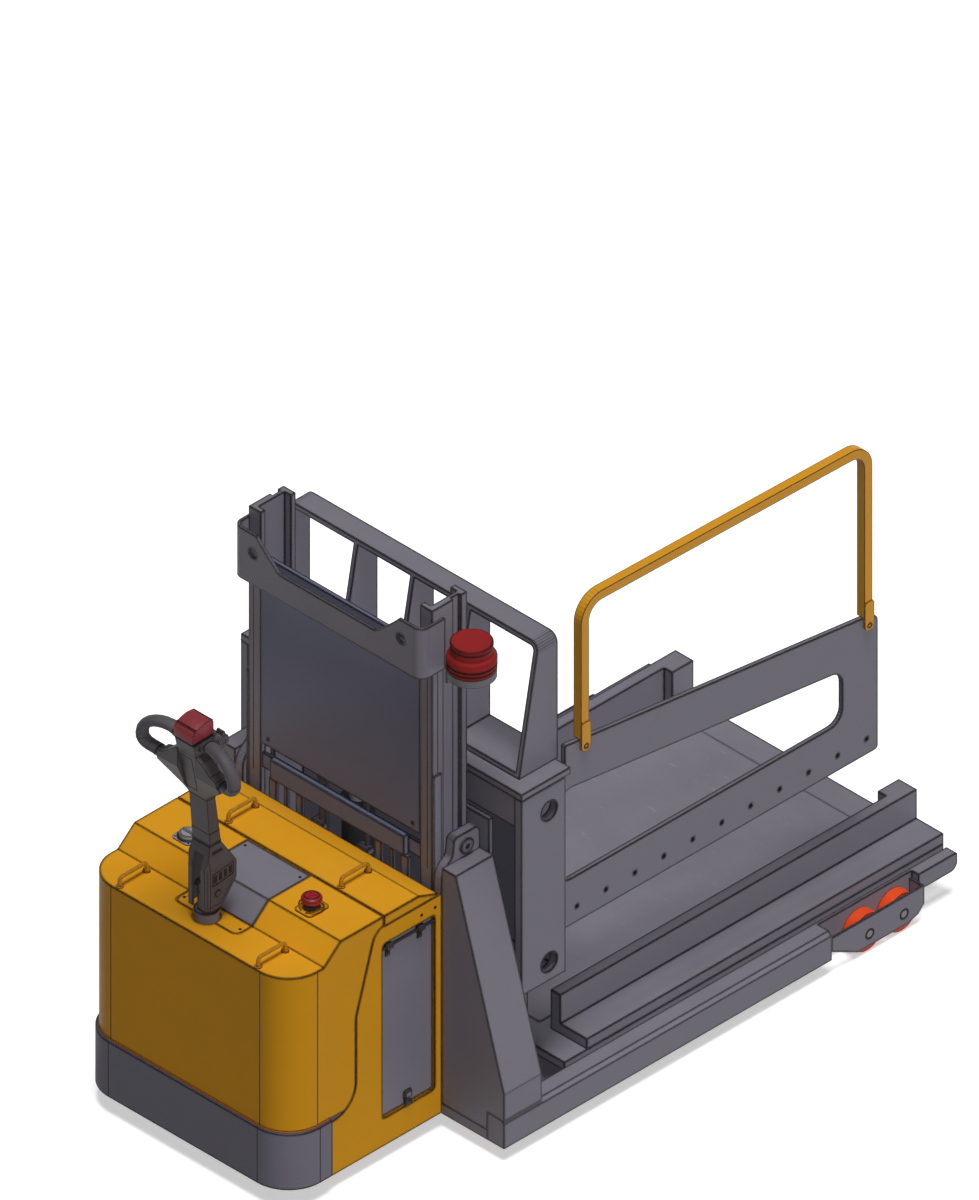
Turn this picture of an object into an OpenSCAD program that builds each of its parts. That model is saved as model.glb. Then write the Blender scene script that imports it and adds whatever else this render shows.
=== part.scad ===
// Rack mover: a walk-behind straddle lift truck with a wide low platform for tall equipment racks.
// X is the width with the operator's right at +X, Y runs from the tiller end to the leg tips, Z is up.
// Inside this file Y is measured from the front cover's face; at_origin() moves the whole truck so that
// the origin lies on the floor, midway between the bumper and the leg tips.

/* [Power unit] */
// Width over the covers
body_w = 800; // [760:1:840]
// Length from the front cover's face to the rear of the side frames
body_l = 592; // [585:1:620]
// Radius of the two front corners in plan
corner_r = 112; // [80:1:130]
// Sheet thickness of the covers
cover_t = 4; // [3:0.5:5]
// Height of the front deck
deck_z = 760; // [745:1:775]
// Height of the hood and of the rear lid
hood_z = 817; // [805:1:830]
// Distance from the front face to the foot of the hood's slope
slope_foot = 137; // [130:1:150]
// Length of the hood's slope, measured along Y
slope_run = 65; // [50:1:80]
// Length of the rear section, from the joint between hood and lid to the rear of the side frames
rear_l = 225; // [222:1:240]
// Joint width between hood, lid and side frames
joint_gap = 3; // [2:0.5:5]
// Width of the grey centre panel
panel_w = 242; // [220:1:260]
// Length of the removable plate around the tiller column
tiller_plate_l = 60; // [58:1:62]
// Length of the flat top of the rear lid before its bevel
lid_flat = 135; // [110:1:150]
// Drop of the lid's rear bevel
lid_drop = 27; // [15:1:30]
// Height of the side frames' top edge
side_top_z = 783; // [775:1:788]
// Height of the side frames' lower edge
side_low_z = 48; // [40:1:60]

/* [Bumper] */
// Lower edge of the bumper
bumper_low_z = 58; // [50:1:70]
// Upper edge of the bumper
bumper_top_z = 243; // [230:1:248]
// Thickness of the bumper, all of it outside the covers
bumper_t = 10; // [6:1:14]
// Length of the bumper's sides
bumper_side_l = 160; // [140:1:168]

/* [Side doors] */
// Length of a side door
door_l = 199; // [180:1:202]
// Height of a side door
door_h = 580; // [540:1:590]
// Lower edge of a side door
door_low_z = 142; // [135:1:160]
// Distance from the door's rear edge to the rear of the side frame
door_inset = 28; // [26:1:35]
// Radius of the hinge rod
door_rod_r = 4; // [3:0.5:5]

/* [Tiller] */
// Distance of the steering column's axis from the front face
column_y = 82; // [78:1:100]
// Radius of the column's visible base
column_r = 36; // [34:1:36]
// Height of the tilt pivot
pivot_z = 860; // [855:1:870]
// Radius of the tilt pin
pivot_pin_r = 10; // [7:0.5:12]
// Width of the tiller housing
housing_w = 86; // [82:1:96]
// Width of the tiller arm
arm_w = 68; // [60:1:72]
// Width of the tiller head
head_w = 74; // [70:1:80]
// Overall width over the two grips
grips_w = 386; // [360:1:420]
// Radius of the grips' tube
grip_r = 15.5; // [14:0.5:18]
// Travel of the red safety button
button_travel = 5; // [3:0.5:5.5]

/* [Straddle legs] */
// Overall width over the legs
legs_w = 1282; // [1276:1:1300]
// Width of one leg
leg_w = 64; // [60:1:64]
// Distance from the front face to the leg tips
leg_tip_y = 2371; // [2366:1:2420]
// Height of the legs' top
leg_top_z = 138.5; // [130:0.5:145]
// Underside of the legs and of the base plate
leg_low_z = 45; // [40:1:50]
// Chamfer along the legs' outer top edge
leg_chamfer = 12; // [6:1:16]
// Thickness of the cross plate of the base
base_t = 35; // [25:1:40]
// Depth of the base and the gussets along Y
base_l = 146; // [140:1:150]

/* [Gussets] */
// Width of a gusset's top
gusset_top_w = 54; // [45:1:60]
// Height of a gusset's top
gusset_top_z = 866; // [840:1:870]
// Height at which a gusset's slope begins
gusset_slope_z = 227; // [200:1:260]
// Wall thickness of a gusset box
gusset_wall = 10; // [6:1:14]

/* [Mast] */
// Width over the two uprights
mast_w = 710; // [700:1:716]
// Depth of an upright
mast_d = 135; // [130:1:140]
// Height of the uprights
mast_top_z = 1700; // [1680:1:1800]
// Width of an upright's flanges
flange_w = 47; // [44:1:50]
// Thickness of an upright's flanges
flange_t = 18; // [16:0.5:20]
// Thickness of the shield
shield_t = 5; // [3:0.5:6]
// Lower edge of the shield
shield_low_z = 930; // [925:1:960]
// Upper edge of the shield
shield_top_z = 1560; // [1540:1:1570]
// Height of the lug pins
lug_pin_z = 900; // [895:1:910]
// Radius of the lug pins
lug_pin_r = 12; // [10:0.5:14]

/* [Lift] */
// Stroke of the carriage
lift_stroke = 600; // [400:10:620]
// Outer radius of the lift cylinder
cylinder_r = 45; // [42:1:48]
// Radius of the ram
ram_r = 25; // [20:1:28]
// Width of a carriage roller
roller_w = 22; // [18:1:23]
// Radius of the rollers' stub axles
stub_r = 15; // [12:0.5:18]

/* [Load frame] */
// Width over the two columns
frame_w = 1086; // [1080:1:1096]
// Thickness of the columns
frame_plate_t = 28; // [24:1:30]
// Depth of the columns along Y
frame_d = 170; // [165:1:180]
// Lower edge of the columns
frame_low_z = 426; // [420:1:440]
// Upper edge of the columns
frame_top_z = 1077; // [1060:1:1090]
// Thickness of the cap plate
cap_t = 22; // [16:1:26]
// How far the cap plate reaches behind the columns
cap_over = 20; // [15:1:25]
// Height of the cross beam
beam_h = 100; // [80:1:104]
// Radius of the bores in the columns
column_bore_r = 30; // [20:1:35]
// Height of the upper bores
bore_high_z = 995; // [990:1:1020]
// Height of the lower bores
bore_low_z = 488; // [480:1:500]

/* [Backrest] */
// Distance from the cap plate's end to the backrest
backrest_inset = 56; // [50:1:75]
// Height of the backrest above the cap plate
backrest_h = 418; // [380:1:430]
// Plate thickness of the backrest
backrest_t = 16; // [12:1:18]
// Depth of the backrest at its top
backrest_top_d = 74; // [60:1:90]
// Depth of the backrest at its foot
backrest_foot_d = 150; // [130:1:156]
// Distance between the backrest's ribs
rib_pitch = 218; // [205:1:225]

/* [Platform] */
// Gap between the platform and each leg
platform_gap = 7; // [4:0.5:15]
// Thickness of the platform
platform_t = 28; // [20:1:30]
// Height of the platform's upper face
platform_top_z = 148.5; // [146:0.5:155]
// How far the platform reaches under the columns
platform_under = 31; // [29:1:38]
// Distance from the leg tips back to the platform's far edge
platform_setback = 8; // [5:1:40]
// Distance from the platform's near edge to the guide rails
rail_inset = 87; // [80:1:110]
// Height of the anti-slip field on the platform
field_t = 2; // [1:0.5:4]
// Height of the guide rails
rail_h = 131; // [110:1:140]
// Width of the guide rails
rail_w = 141; // [130:1:150]
// Thickness of a guide rail's upright flange
rail_flange_t = 38; // [30:1:44]
// Thickness of a guide rail's flat flange
rail_foot_t = 35; // [25:1:40]

/* [Side arm] */
// Thickness of the side arm
arm_t = 16; // [10:1:18]
// Distance from the platform's far edge back to the arm's far end
arm_setback = 199; // [160:1:230]
// Lower edge of the arm
arm_low_z = 541.5; // [535:0.5:560]
// Height of the arm at the columns
arm_near_z = 1155; // [1140:1:1165]
// Height of the arm at its far end
arm_far_z = 996; // [980:1:1010]
// Radius of the arm's bolt holes
arm_hole_r = 7; // [5:0.5:9]
// Distance between the arm's bolt holes
arm_hole_pitch = 112; // [100:1:113]
// Side of the guard rail's square tube
guard_s = 30; // [25:1:34]
// Height of the guard rail over its near end
guard_near_z = 1612; // [1560:1:1640]
// Height of the guard rail over its far end
guard_far_z = 1588; // [1540:1:1620]
// Distance from the columns to the guard rail's near leg
guard_near_inset = 97; // [85:1:115]
// Distance from the arm's far end back to the guard rail's far leg
guard_far_inset = 43; // [38:1:60]

/* [Wheels] */
// Radius of the load wheels
load_wheel_r = 60; // [55:1:62]
// Width of the load wheels
load_wheel_w = 39; // [30:1:40]
// Distance between the two load wheels of a leg
load_wheel_pitch = 133; // [128:1:140]
// Distance from the leg tips back to the first load wheel's axle
load_wheel_setback = 364; // [355:1:380]
// Radius of the load wheels' axles
load_axle_r = 12.5; // [10:0.5:14]
// Radius of the drive wheel
drive_wheel_r = 115; // [105:1:116]
// Width of the drive wheel
drive_wheel_w = 76; // [65:1:80]
// Distance of the drive wheel's axis from the front face
drive_y = 250; // [246:1:256]

/* [Controls] */
// Distance of the emergency stop and the key switch from the front face
control_y = 257; // [245:1:270]
// Distance of the emergency stop from the truck's centre plane
stop_x = 232; // [215:1:240]
// Radius of the emergency stop's head
stop_r = 30; // [25:1:32]
// Travel of the emergency stop
stop_travel = 6; // [4:0.5:6.5]
// Distance of the key switch from the truck's centre plane
switch_x = 245; // [230:1:255]
// Distance of the beacon from the truck's centre plane
beacon_x = 438; // [436:1:450]
// Radius of the beacon's base
beacon_r = 70; // [60:1:72]
// Underside of the beacon
beacon_z = 1497; // [1480:1:1520]

/* [Clearances] */
// Gap between neighbouring pieces on different bodies
gap = 0.3; // [0.2:0.05:0.5]
// Radial clearance of a pin or shaft in its bore
fit = 0.05; // [0.02:0.01:0.1]

/* [Hidden] */

YELLOW = [0.83, 0.58, 0.13];
STEEL = [0.43, 0.42, 0.46];
DARK = [0.27, 0.26, 0.28];
BLACK = [0.12, 0.12, 0.13];
RED = [0.58, 0.15, 0.17];
ORANGE = [0.83, 0.24, 0.08];
BRIGHT = [0.75, 0.75, 0.77];

mid_y = (leg_tip_y - bumper_t) / 2;
half_w = body_w / 2;
slope_top = slope_foot + slope_run;
lid_front = body_l - rear_l;
lid_end = body_l - 16;
door_end = body_l - door_inset;
door_front = door_end - door_l;
door_top = door_low_z + door_h;
door_rod_z = door_top - 17;
mast_y = body_l + 8;
mast_back = mast_y + mast_d;
mast_half = mast_w / 2;
flange_x = mast_half - flange_w;
web_x = mast_half - 22;
roller_y = mast_y + mast_d / 2;
roller_r = mast_d / 2 - flange_t - gap;
roller_low_z = 400;
roller_high_z = 890;
leg_out = legs_w / 2;
leg_in = leg_out - leg_w;
base_back = body_l + base_l;
carriage_y = mast_back + 10;
carriage_t = 16;
carriage_top_z = 968;
frame_y = carriage_y + carriage_t - 3;
frame_back = frame_y + frame_d;
frame_in = frame_w / 2 - frame_plate_t;
cap_top = frame_top_z + cap_t;
backrest_w = frame_w - 2 * backrest_inset;
platform_w = legs_w - 2 * leg_w - 2 * platform_gap;
platform_y = frame_back - platform_under;
platform_end_y = leg_tip_y - platform_setback;
rail_y = platform_y + rail_inset;
arm_end_y = platform_end_y - arm_setback;
guard_near_y = frame_back + guard_near_inset;
guard_far_y = arm_end_y - guard_far_inset;
load_wheel_y = leg_tip_y - load_wheel_setback;
carriage_half = mast_half + 75;
pocket_y = load_wheel_y - 147;
pocket_end = load_wheel_y + load_wheel_pitch + 78;
bracket_t = 7;
wheel_x = leg_out - bracket_t - 3 - load_wheel_w / 2;
inner_bar_t = 11;
floor_z = 250;
floor_t = 12;
sprocket_z = 480;
arm_out = frame_in;
housing_front = column_y - 39;

// Moves a node from the building frame to the origin of the part
module at_origin() { translate([0, -mid_y, 0]) children(); }

// Unit vector, turn angle and corner arc used to round the corners of a polygon
function unit(v) = v / norm(v);
function wrap(a) = a > 180 ? a - 360 : a < -180 ? a + 360 : a;
function corner(a, b, c, r, n) =
    let (u = unit(a - b), v = unit(c - b), half = acos(u * v) / 2,
         d = r / tan(half), m = b + unit(u + v) * r / sin(half),
         p = b + u * d - m, q = b + v * d - m,
         start = atan2(p[1], p[0]), sweep = wrap(atan2(q[1], q[0]) - start))
    [for (i = [0:n]) m + r * [cos(start + sweep * i / n), sin(start + sweep * i / n)]];
function rounded(points, radii, n = 6) =
    let (k = len(points))
    [for (i = [0:k - 1]) each radii[i] > 0
        ? corner(points[(i + k - 1) % k], points[i], points[(i + 1) % k], radii[i], n)
        : [points[i]]];

// A (Y, Z) outline made solid from x0 to x1
module yz_plate(x0, x1, points) {
    translate([x0, 0, 0]) rotate([90, 0, 90]) linear_extrude(x1 - x0) polygon(points);
}

// An (X, Z) outline made solid from y0 to y1
module xz_plate(y0, y1, points) {
    translate([0, y1, 0]) rotate([90, 0, 0]) linear_extrude(y1 - y0) polygon(points);
}

// A box from one corner to the opposite one
module block(low, high) { translate(low) cube(high - low); }

// A round bar along X, Y or Z
module bar_x(x0, x1, y, z, r) {
    translate([x0, y, z]) rotate([0, 90, 0]) cylinder(h = x1 - x0, r = r, $fn = 64);
}
module bar_y(y0, y1, x, z, r) {
    translate([x, y1, z]) rotate([90, 0, 0]) cylinder(h = y1 - y0, r = r, $fn = 48);
}
module bar_z(z0, z1, x, y, r) { translate([x, y, z0]) cylinder(h = z1 - z0, r = r, $fn = 96); }

// Keeps a piece on the right, or mirrors it to the left
module side(s) { mirror([s < 0 ? 1 : 0, 0, 0]) children(); }

// The power unit's plan outline, drawn in by an inset, from the front to y_end
module plan_block(inset, y_end, z0, z1) {
    r = corner_r - inset;
    w = half_w - inset;
    block([-w, corner_r, z0], [w, y_end, z1]);
    block([r - w, inset, z0], [w - r, corner_r, z1]);
    intersection() {
        for (s = [-1, 1]) bar_z(z0, z1, s * (w - r), corner_r, r);
        block([-w, inset, z0], [w, corner_r, z1]);
    }
}

// The line on each side where the front cover ends and the side frame begins
function side_line(d) =
    let (low = bumper_side_l + 8, high = lid_front - 108, foot = bumper_top_z - 12 - d / 2)
    rounded([[lid_front + d, side_top_z + 5], [lid_front - 35 + d, side_top_z - 4], [high + d, 532],
     [high + d, foot], [low + d, foot]],
    [0, 55, 60, min(90, high - low - 4), 0], 7);

// Hood and deck as one sheet-metal shell, from the front to the lid
function hood_profile(drop, y_end) = [
    [-1, deck_z - drop], [slope_foot + drop * 0.4, deck_z - drop],
    [slope_top + drop * 0.4, hood_z - drop], [y_end, hood_z - drop]];

module hood_shell() {
    difference() {
        intersection() {
            plan_block(0, lid_front, bumper_top_z, hood_z);
            yz_plate(-half_w, half_w, concat([[-1, bumper_top_z + 2]], hood_profile(0, lid_front),
                side_line(0), [[bumper_side_l, bumper_top_z + 2]]));
        }
        intersection() {
            plan_block(cover_t, body_l, bumper_top_z - 1, hood_z);
            yz_plate(-half_w, half_w, concat([[-1, bumper_top_z - 1]], hood_profile(cover_t, body_l),
                [[body_l, bumper_top_z - 1]]));
        }
    }
}

// The strip of the hood around the tiller and the centre panel
module centre_strip(y0, y1, grow, r = 0) {
    w = panel_w / 2 + grow;
    translate([0, 0, deck_z - 3 * cover_t]) linear_extrude(hood_z + 1 - deck_z + 3 * cover_t) polygon(rounded(
        [[-w, y0 - grow], [w, y0 - grow], [w, y1 + grow], [-w, y1 + grow]],
        [r > 0 ? r + grow : 0, r > 0 ? r + grow : 0, 0, 0]));
}
plate_r = 20;

module front_cover() {
    color(YELLOW) at_origin() difference() {
        hood_shell();
        centre_strip(slope_foot - tiller_plate_l, lid_front - 5, gap, plate_r);
        bar_z(deck_z - 20, deck_z + 1, 0, column_y, column_r + 1);
        bar_z(hood_z - 20, hood_z + 1, stop_x, control_y, 16);
        bar_z(hood_z - 20, hood_z + 1, -switch_x, control_y, 16);
    }
}

module top_panel() {
    color(STEEL) at_origin() intersection() {
        hood_shell();
        centre_strip(slope_foot + gap, lid_front - 5, 0);
    }
}

module tiller_plate() {
    color(YELLOW) at_origin() difference() {
        intersection() {
            hood_shell();
            centre_strip(slope_foot - tiller_plate_l, slope_foot, 0, plate_r);
        }
        bar_z(deck_z - 20, deck_z + 1, 0, column_y, column_r + 1);
    }
}

// The lift-off lid over the battery, with a bevel along its rear edge
module rear_lid() {
    profile = [[lid_front + joint_gap, side_top_z + gap], [lid_front + joint_gap, hood_z],
               [lid_front + joint_gap + lid_flat, hood_z], [lid_end, hood_z - lid_drop],
               [lid_end, side_top_z + gap]];
    hollow = [[lid_front + joint_gap + cover_t, side_top_z - 1],
              [lid_front + joint_gap + cover_t, hood_z - cover_t],
              [lid_front + joint_gap + lid_flat - 1, hood_z - cover_t],
              [lid_end - cover_t, hood_z - lid_drop - cover_t * 0.9], [lid_end - cover_t, side_top_z - 1]];
    color(YELLOW) at_origin() difference() {
        yz_plate(-half_w, half_w, profile);
        yz_plate(cover_t - half_w, half_w - cover_t, hollow);
    }
}

module side_frame() {
    outline = concat([[body_l, side_low_z], [body_l, side_top_z], [lid_front + joint_gap, side_top_z]],
        side_line(joint_gap), [[bumper_side_l + 1, bumper_top_z - 14], [bumper_side_l + 1, side_low_z]]);
    difference() {
        yz_plate(half_w - cover_t, half_w, outline);
        yz_plate(half_w - cover_t - 1, half_w + 1, rounded(
            [[door_front - 2, door_low_z - 2], [door_end + 2, door_low_z - 2],
             [door_end + 2, door_top + 2], [door_front - 2, door_top + 2]], [12, 12, 12, 12]));
    }
    bar_y(door_front - 4, door_end + 4, half_w - cover_t, door_rod_z, door_rod_r);
}

module side_frames() { color(YELLOW) at_origin() for (s = [1, -1]) side(s) side_frame(); }

module side_door(s) {
    panel_x = half_w - cover_t - door_rod_r - 5;
    color(STEEL) at_origin() side(s) {
        yz_plate(panel_x, panel_x + 4, rounded(
            [[door_front, door_low_z], [door_end, door_low_z], [door_end, door_top], [door_front, door_top]],
            [10, 10, 10, 10]));
        for (y = [door_front + 14, door_end - 62]) difference() {
            union() {
                bar_y(y, y + 20, half_w - cover_t, door_rod_z, door_rod_r + 4);
                block([panel_x + 4, y, door_rod_z - 8], [half_w - cover_t, y + 20, door_rod_z]);
            }
            bar_y(y - 1, y + 21, half_w - cover_t, door_rod_z, door_rod_r + fit);
        }
        block([panel_x + 4, door_end - 110, door_low_z + 18], [half_w - 1, door_end - 85, door_low_z + 40]);
    }
}
module side_door_right() { side_door(1); }
module side_door_left() { side_door(-1); }

module bumper() {
    color(STEEL) at_origin() difference() {
        plan_block(-bumper_t, bumper_side_l, bumper_low_z, bumper_top_z);
        plan_block(0, bumper_side_l + 10, bumper_low_z - 1, bumper_top_z + 1);
    }
}

// Floor with the turret's hole, a rim behind the bumper, two ribs and the rear bulkhead
module chassis_frame() {
    in = cover_t + gap;
    turret_hole_r = 104;
    color(DARK) at_origin() {
        difference() {
            union() {
                plan_block(in, door_front - 20, floor_z, floor_z + floor_t);
                block([20 - half_w, door_front - 20, floor_z],
                    [half_w - 20, body_l - 12, floor_z + floor_t]);
                difference() {
                    union() {
                        plan_block(gap, bumper_side_l - 2, bumper_low_z + 8, bumper_top_z - 1);
                        plan_block(in, bumper_side_l - 2, bumper_low_z + 8, floor_z + 1);
                    }
                    plan_block(gap + 8, bumper_side_l, bumper_low_z + 7, floor_z);
                }
                for (s = [-1, 1]) block([s * 300 - 5, 40, 80], [s * 300 + 5, body_l - 12, floor_z + 1]);
                block([in - half_w, body_l - 12, side_low_z + 12],
                    [half_w - in, body_l, side_top_z - 8]);
            }
            bar_z(floor_z - 1, floor_z + floor_t + 1, 0, drive_y, turret_hole_r);
            bar_z(floor_z - 1, floor_z + floor_t + 1, 0, column_y, 24);
        }
        difference() {
            block([-60, column_y - 52, sprocket_z + 60], [60, column_y + 30, sprocket_z + 70]);
            bar_z(sprocket_z + 59, sprocket_z + 71, 0, column_y, 20 + fit);
        }
        for (s = [-1, 1]) block([s * 55 - 5, 30, floor_z + floor_t - 1], [s * 55 + 5, 50, sprocket_z + 61]);
    }
}

// A bail handle along Y: two legs, two quarter bends and a grip bar
module bail(x, y, z, l, h, r) {
    bend = 12;
    for (e = [0, 1]) {
        bar_z(z, z + h - bend, x, y + e * l, r);
        bar_z(z, z + 3, x, y + e * l, r * 2);
        translate([x, y + (e == 0 ? bend : l - bend), z + h - bend])
            rotate([e == 0 ? 90 : 0, e == 0 ? 0 : 90, e == 0 ? 90 : 0])
            rotate([0, 0, e == 0 ? 90 : 90])
            rotate_extrude(angle = 90, $fn = 48) translate([bend, 0]) circle(r, $fn = 32);
    }
    bar_y(y + bend, y + l - bend, x, z + h, r);
}
handle_r = 6;
handle_h = 30;
module front_handles() {
    color(YELLOW) at_origin() for (s = [-1, 1]) bail(s * 268, 14, deck_z, 104, handle_h, handle_r);
}
module lid_handles() {
    color(YELLOW) at_origin() for (s = [-1, 1])
        bail(s * 218, lid_front + 18, hood_z, 104, handle_h, handle_r);
}

module battery() {
    y0 = lid_front + 30;
    y1 = body_l - 20;
    color(BLACK) at_origin() {
        block([-320, y0, floor_z + floor_t], [320, y1, 700]);
        for (i = [-3:3]) bar_z(699, 712, i * 86, (y0 + y1) / 2, 18);
    }
}

module pump_unit() {
    color(DARK) at_origin() {
        block([-350, 120, floor_z + floor_t], [-160, 330, 430]);
        bar_z(429, 600, -255, 225, 62);
        bar_z(429, 450, -190, 150, 18);
    }
}

// Base plate that ties the legs, the uprights and the power unit together
module base_frame() {
    color(STEEL) at_origin() {
        block([-leg_in, body_l, leg_low_z], [leg_in, base_back, leg_low_z + base_t]);
        block([60 - half_w, body_l, leg_low_z + base_t - 1], [half_w - 60, body_l + 7, 240]);
    }
}

module leg(s) {
    section = [[leg_in, leg_low_z], [leg_out, leg_low_z], [leg_out, leg_top_z - leg_chamfer],
               [leg_out - leg_chamfer, leg_top_z], [leg_in, leg_top_z]];
    tip_y = pocket_end + 5;
    tip_out = leg_in + leg_w * 0.6;
    color(STEEL) at_origin() side(s) difference() {
        union() {
            xz_plate(body_l, pocket_y, section);
            block([leg_in, pocket_y - 1, leg_low_z], [leg_in + inner_bar_t, tip_y, leg_top_z]);
            yz_plate(leg_in, tip_out, rounded(
                [[tip_y - 1, leg_low_z + 39], [leg_tip_y, leg_low_z + 39], [leg_tip_y, leg_top_z],
                 [tip_y - 1, leg_top_z]], [0, 25, 5, 0]));
        }
        for (i = [0, 1]) bar_x(leg_in - 1, leg_in + inner_bar_t + 1,
            load_wheel_y + i * load_wheel_pitch, load_wheel_r, load_axle_r + fit);
    }
}
module leg_right() { leg(1); }
module leg_left() { leg(-1); }

module wheel_brackets() {
    in = leg_in + inner_bar_t;
    z1 = leg_top_z - 20;
    color(STEEL) at_origin() for (s = [1, -1]) side(s) difference() {
        union() {
            yz_plate(leg_out - bracket_t, leg_out, [
                [pocket_y, z1], [pocket_end, z1], [pocket_end, 57], [pocket_end - 24, 32],
                [pocket_end - 68, 21], [pocket_y + 100, 21], [pocket_y + 57, 43], [pocket_y, 72]]);
            block([in, pocket_y, 72], [leg_out - 1, pocket_y + bracket_t, z1]);
            block([in, pocket_end - bracket_t, 62], [leg_out - 1, pocket_end, z1]);
        }
        for (i = [0, 1]) bar_x(leg_out - bracket_t - 1, leg_out + 1,
            load_wheel_y + i * load_wheel_pitch, load_wheel_r, load_axle_r + fit);
    }
}

module load_axles() {
    color(BRIGHT) at_origin() for (s = [1, -1], i = [0, 1]) side(s)
        bar_x(leg_in, leg_out, load_wheel_y + i * load_wheel_pitch, load_wheel_r, load_axle_r);
}

module load_wheel(s, i) {
    color(ORANGE) at_origin() side(s) difference() {
        bar_x(wheel_x - load_wheel_w / 2, wheel_x + load_wheel_w / 2,
            load_wheel_y + i * load_wheel_pitch, load_wheel_r, load_wheel_r);
        bar_x(wheel_x - load_wheel_w, wheel_x + load_wheel_w,
            load_wheel_y + i * load_wheel_pitch, load_wheel_r, load_axle_r + fit);
    }
}
module load_wheel_right_near() { load_wheel(1, 0); }
module load_wheel_right_far() { load_wheel(1, 1); }
module load_wheel_left_near() { load_wheel(-1, 0); }
module load_wheel_left_far() { load_wheel(-1, 1); }

// Tapered box beside each upright, open at its foot where it is welded to the base and the leg
module gusset(s) {
    x0 = half_w;
    w = gusset_wall;
    z0 = leg_top_z;
    color(STEEL) at_origin() side(s) difference() {
        xz_plate(body_l, base_back, [[x0, leg_low_z + base_t], [leg_in, leg_low_z + base_t], [leg_in, z0],
            [leg_out, z0], [leg_out, gusset_slope_z], [x0 + gusset_top_w, gusset_top_z],
            [x0, gusset_top_z]]);
        xz_plate(body_l + w, base_back - w, [[x0 + w, leg_low_z + base_t - 1],
            [leg_in - w, leg_low_z + base_t - 1], [leg_in - w, z0 + w], [leg_out - w, z0 + w],
            [leg_out - w, gusset_slope_z - w],
            [x0 + gusset_top_w - w, gusset_top_z - w * 2], [x0 + w, gusset_top_z - w * 2]]);
    }
}
module gusset_right() { gusset(1); }
module gusset_left() { gusset(-1); }

lug_y = body_l + 91;
module mast_lugs() {
    z = lug_pin_z;
    color(STEEL) at_origin() for (s = [1, -1]) side(s) difference() {
        yz_plate(half_w - 31, half_w, rounded(
            [[body_l, leg_low_z + base_t], [body_l, z - 55], [lug_y - 48, z - 18], [lug_y - 42, z + 40],
             [lug_y + 57, z + 40], [lug_y + 57, z - 45], [base_back, z - 60],
             [base_back, leg_low_z + base_t]],
            [0, 60, 22, 15, 20, 0, 0, 0]));
        bar_x(half_w - 32, half_w + 1, lug_y, z, lug_pin_r + fit);
    }
}

module mast_pins() {
    color(BRIGHT) at_origin() for (s = [1, -1]) side(s) difference() {
        union() {
            bar_x(web_x, half_w + gap + 2, lug_y, lug_pin_z, lug_pin_r);
            bar_x(half_w + gap, half_w + gap + 8, lug_y, lug_pin_z, lug_pin_r * 2);
        }
        bar_x(half_w - 6, half_w + gap + 9, lug_y, lug_pin_z, lug_pin_r * 0.6);
    }
}

// Rolled upright: a channel open inwards, with a groove along its outer face
module mast_upright(s) {
    x = mast_half;
    groove = mast_y + 82;
    plan = [[flange_x, mast_y], [x, mast_y], [x, groove], [x - 10, groove], [x - 10, groove + 30],
            [x, groove + 30], [x, mast_back], [flange_x, mast_back], [flange_x, mast_back - flange_t],
            [web_x, mast_back - flange_t], [web_x, mast_y + flange_t], [flange_x, mast_y + flange_t]];
    color(STEEL) at_origin() side(s) difference() {
        translate([0, 0, leg_low_z + base_t]) linear_extrude(mast_top_z - leg_low_z - base_t) polygon(plan);
        bar_x(web_x - 1, x + 1, lug_y, lug_pin_z, lug_pin_r + fit);
    }
}
module mast_upright_right() { mast_upright(1); }
module mast_upright_left() { mast_upright(-1); }

// Bent plate that wraps the tops of the uprights, cut low in its middle
bracket_front = mast_y - 52;
bracket_plate = 10;
module mast_top_bracket() {
    x = mast_half + gap + bracket_plate;
    low = 1494;
    high = 1663;
    dip = 1578;
    r = 30;
    color(STEEL) at_origin() difference() {
        union() {
            block([r - x, bracket_front, low], [x - r, bracket_front + bracket_plate, high]);
            for (s = [1, -1]) side(s) {
                block([x - bracket_plate, bracket_front + r, low], [x, bracket_front + 93, high]);
                difference() {
                    bar_z(low, high, x - r, bracket_front + r, r);
                    bar_z(low - 1, high + 1, x - r, bracket_front + r, r - bracket_plate);
                    block([x - 2 * r, bracket_front + r, low - 1],
                        [x - bracket_plate, bracket_front + 3 * r, high + 1]);
                    block([x - 2 * r - 1, bracket_front + bracket_plate, low - 1],
                        [x - r, bracket_front + 3 * r, high + 1]);
                }
            }
        }
        xz_plate(bracket_front - 1, bracket_front + 20, rounded(
            [[-186, dip], [186, dip], [236, dip + 45], [277, high], [290, high + 50], [-290, high + 50],
             [-277, high], [-236, dip + 45]], [30, 30, 0, 30, 0, 0, 30, 0]));
        for (s = [1, -1]) bar_y(bracket_front - 1, bracket_front + 20, s * 286, 1600, 16);
    }
}

module mast_shield() {
    color(DARK) at_origin() {
        block([gap - flange_x, mast_y, shield_low_z], [flange_x - gap, mast_y + shield_t, shield_top_z]);
        block([gap - flange_x, mast_y + shield_t - 1, shield_top_z - 60],
            [flange_x - gap, mast_y + shield_t + 10, shield_top_z]);
    }
}

module mast_cross_bar() {
    z0 = 840;
    z1 = 905;
    color(DARK) at_origin() {
        yz_plate(-259, 259, rounded(
            [[mast_y - 14, z0], [mast_y + 5, z0], [mast_y + 5, z1], [mast_y - 14, z1]], [3, 0, 0, 3], 3));
        block([gap - flange_x, mast_y + 4, z0 + 8], [flange_x - gap, mast_y + 15, z1 - 8]);
    }
}

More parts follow.
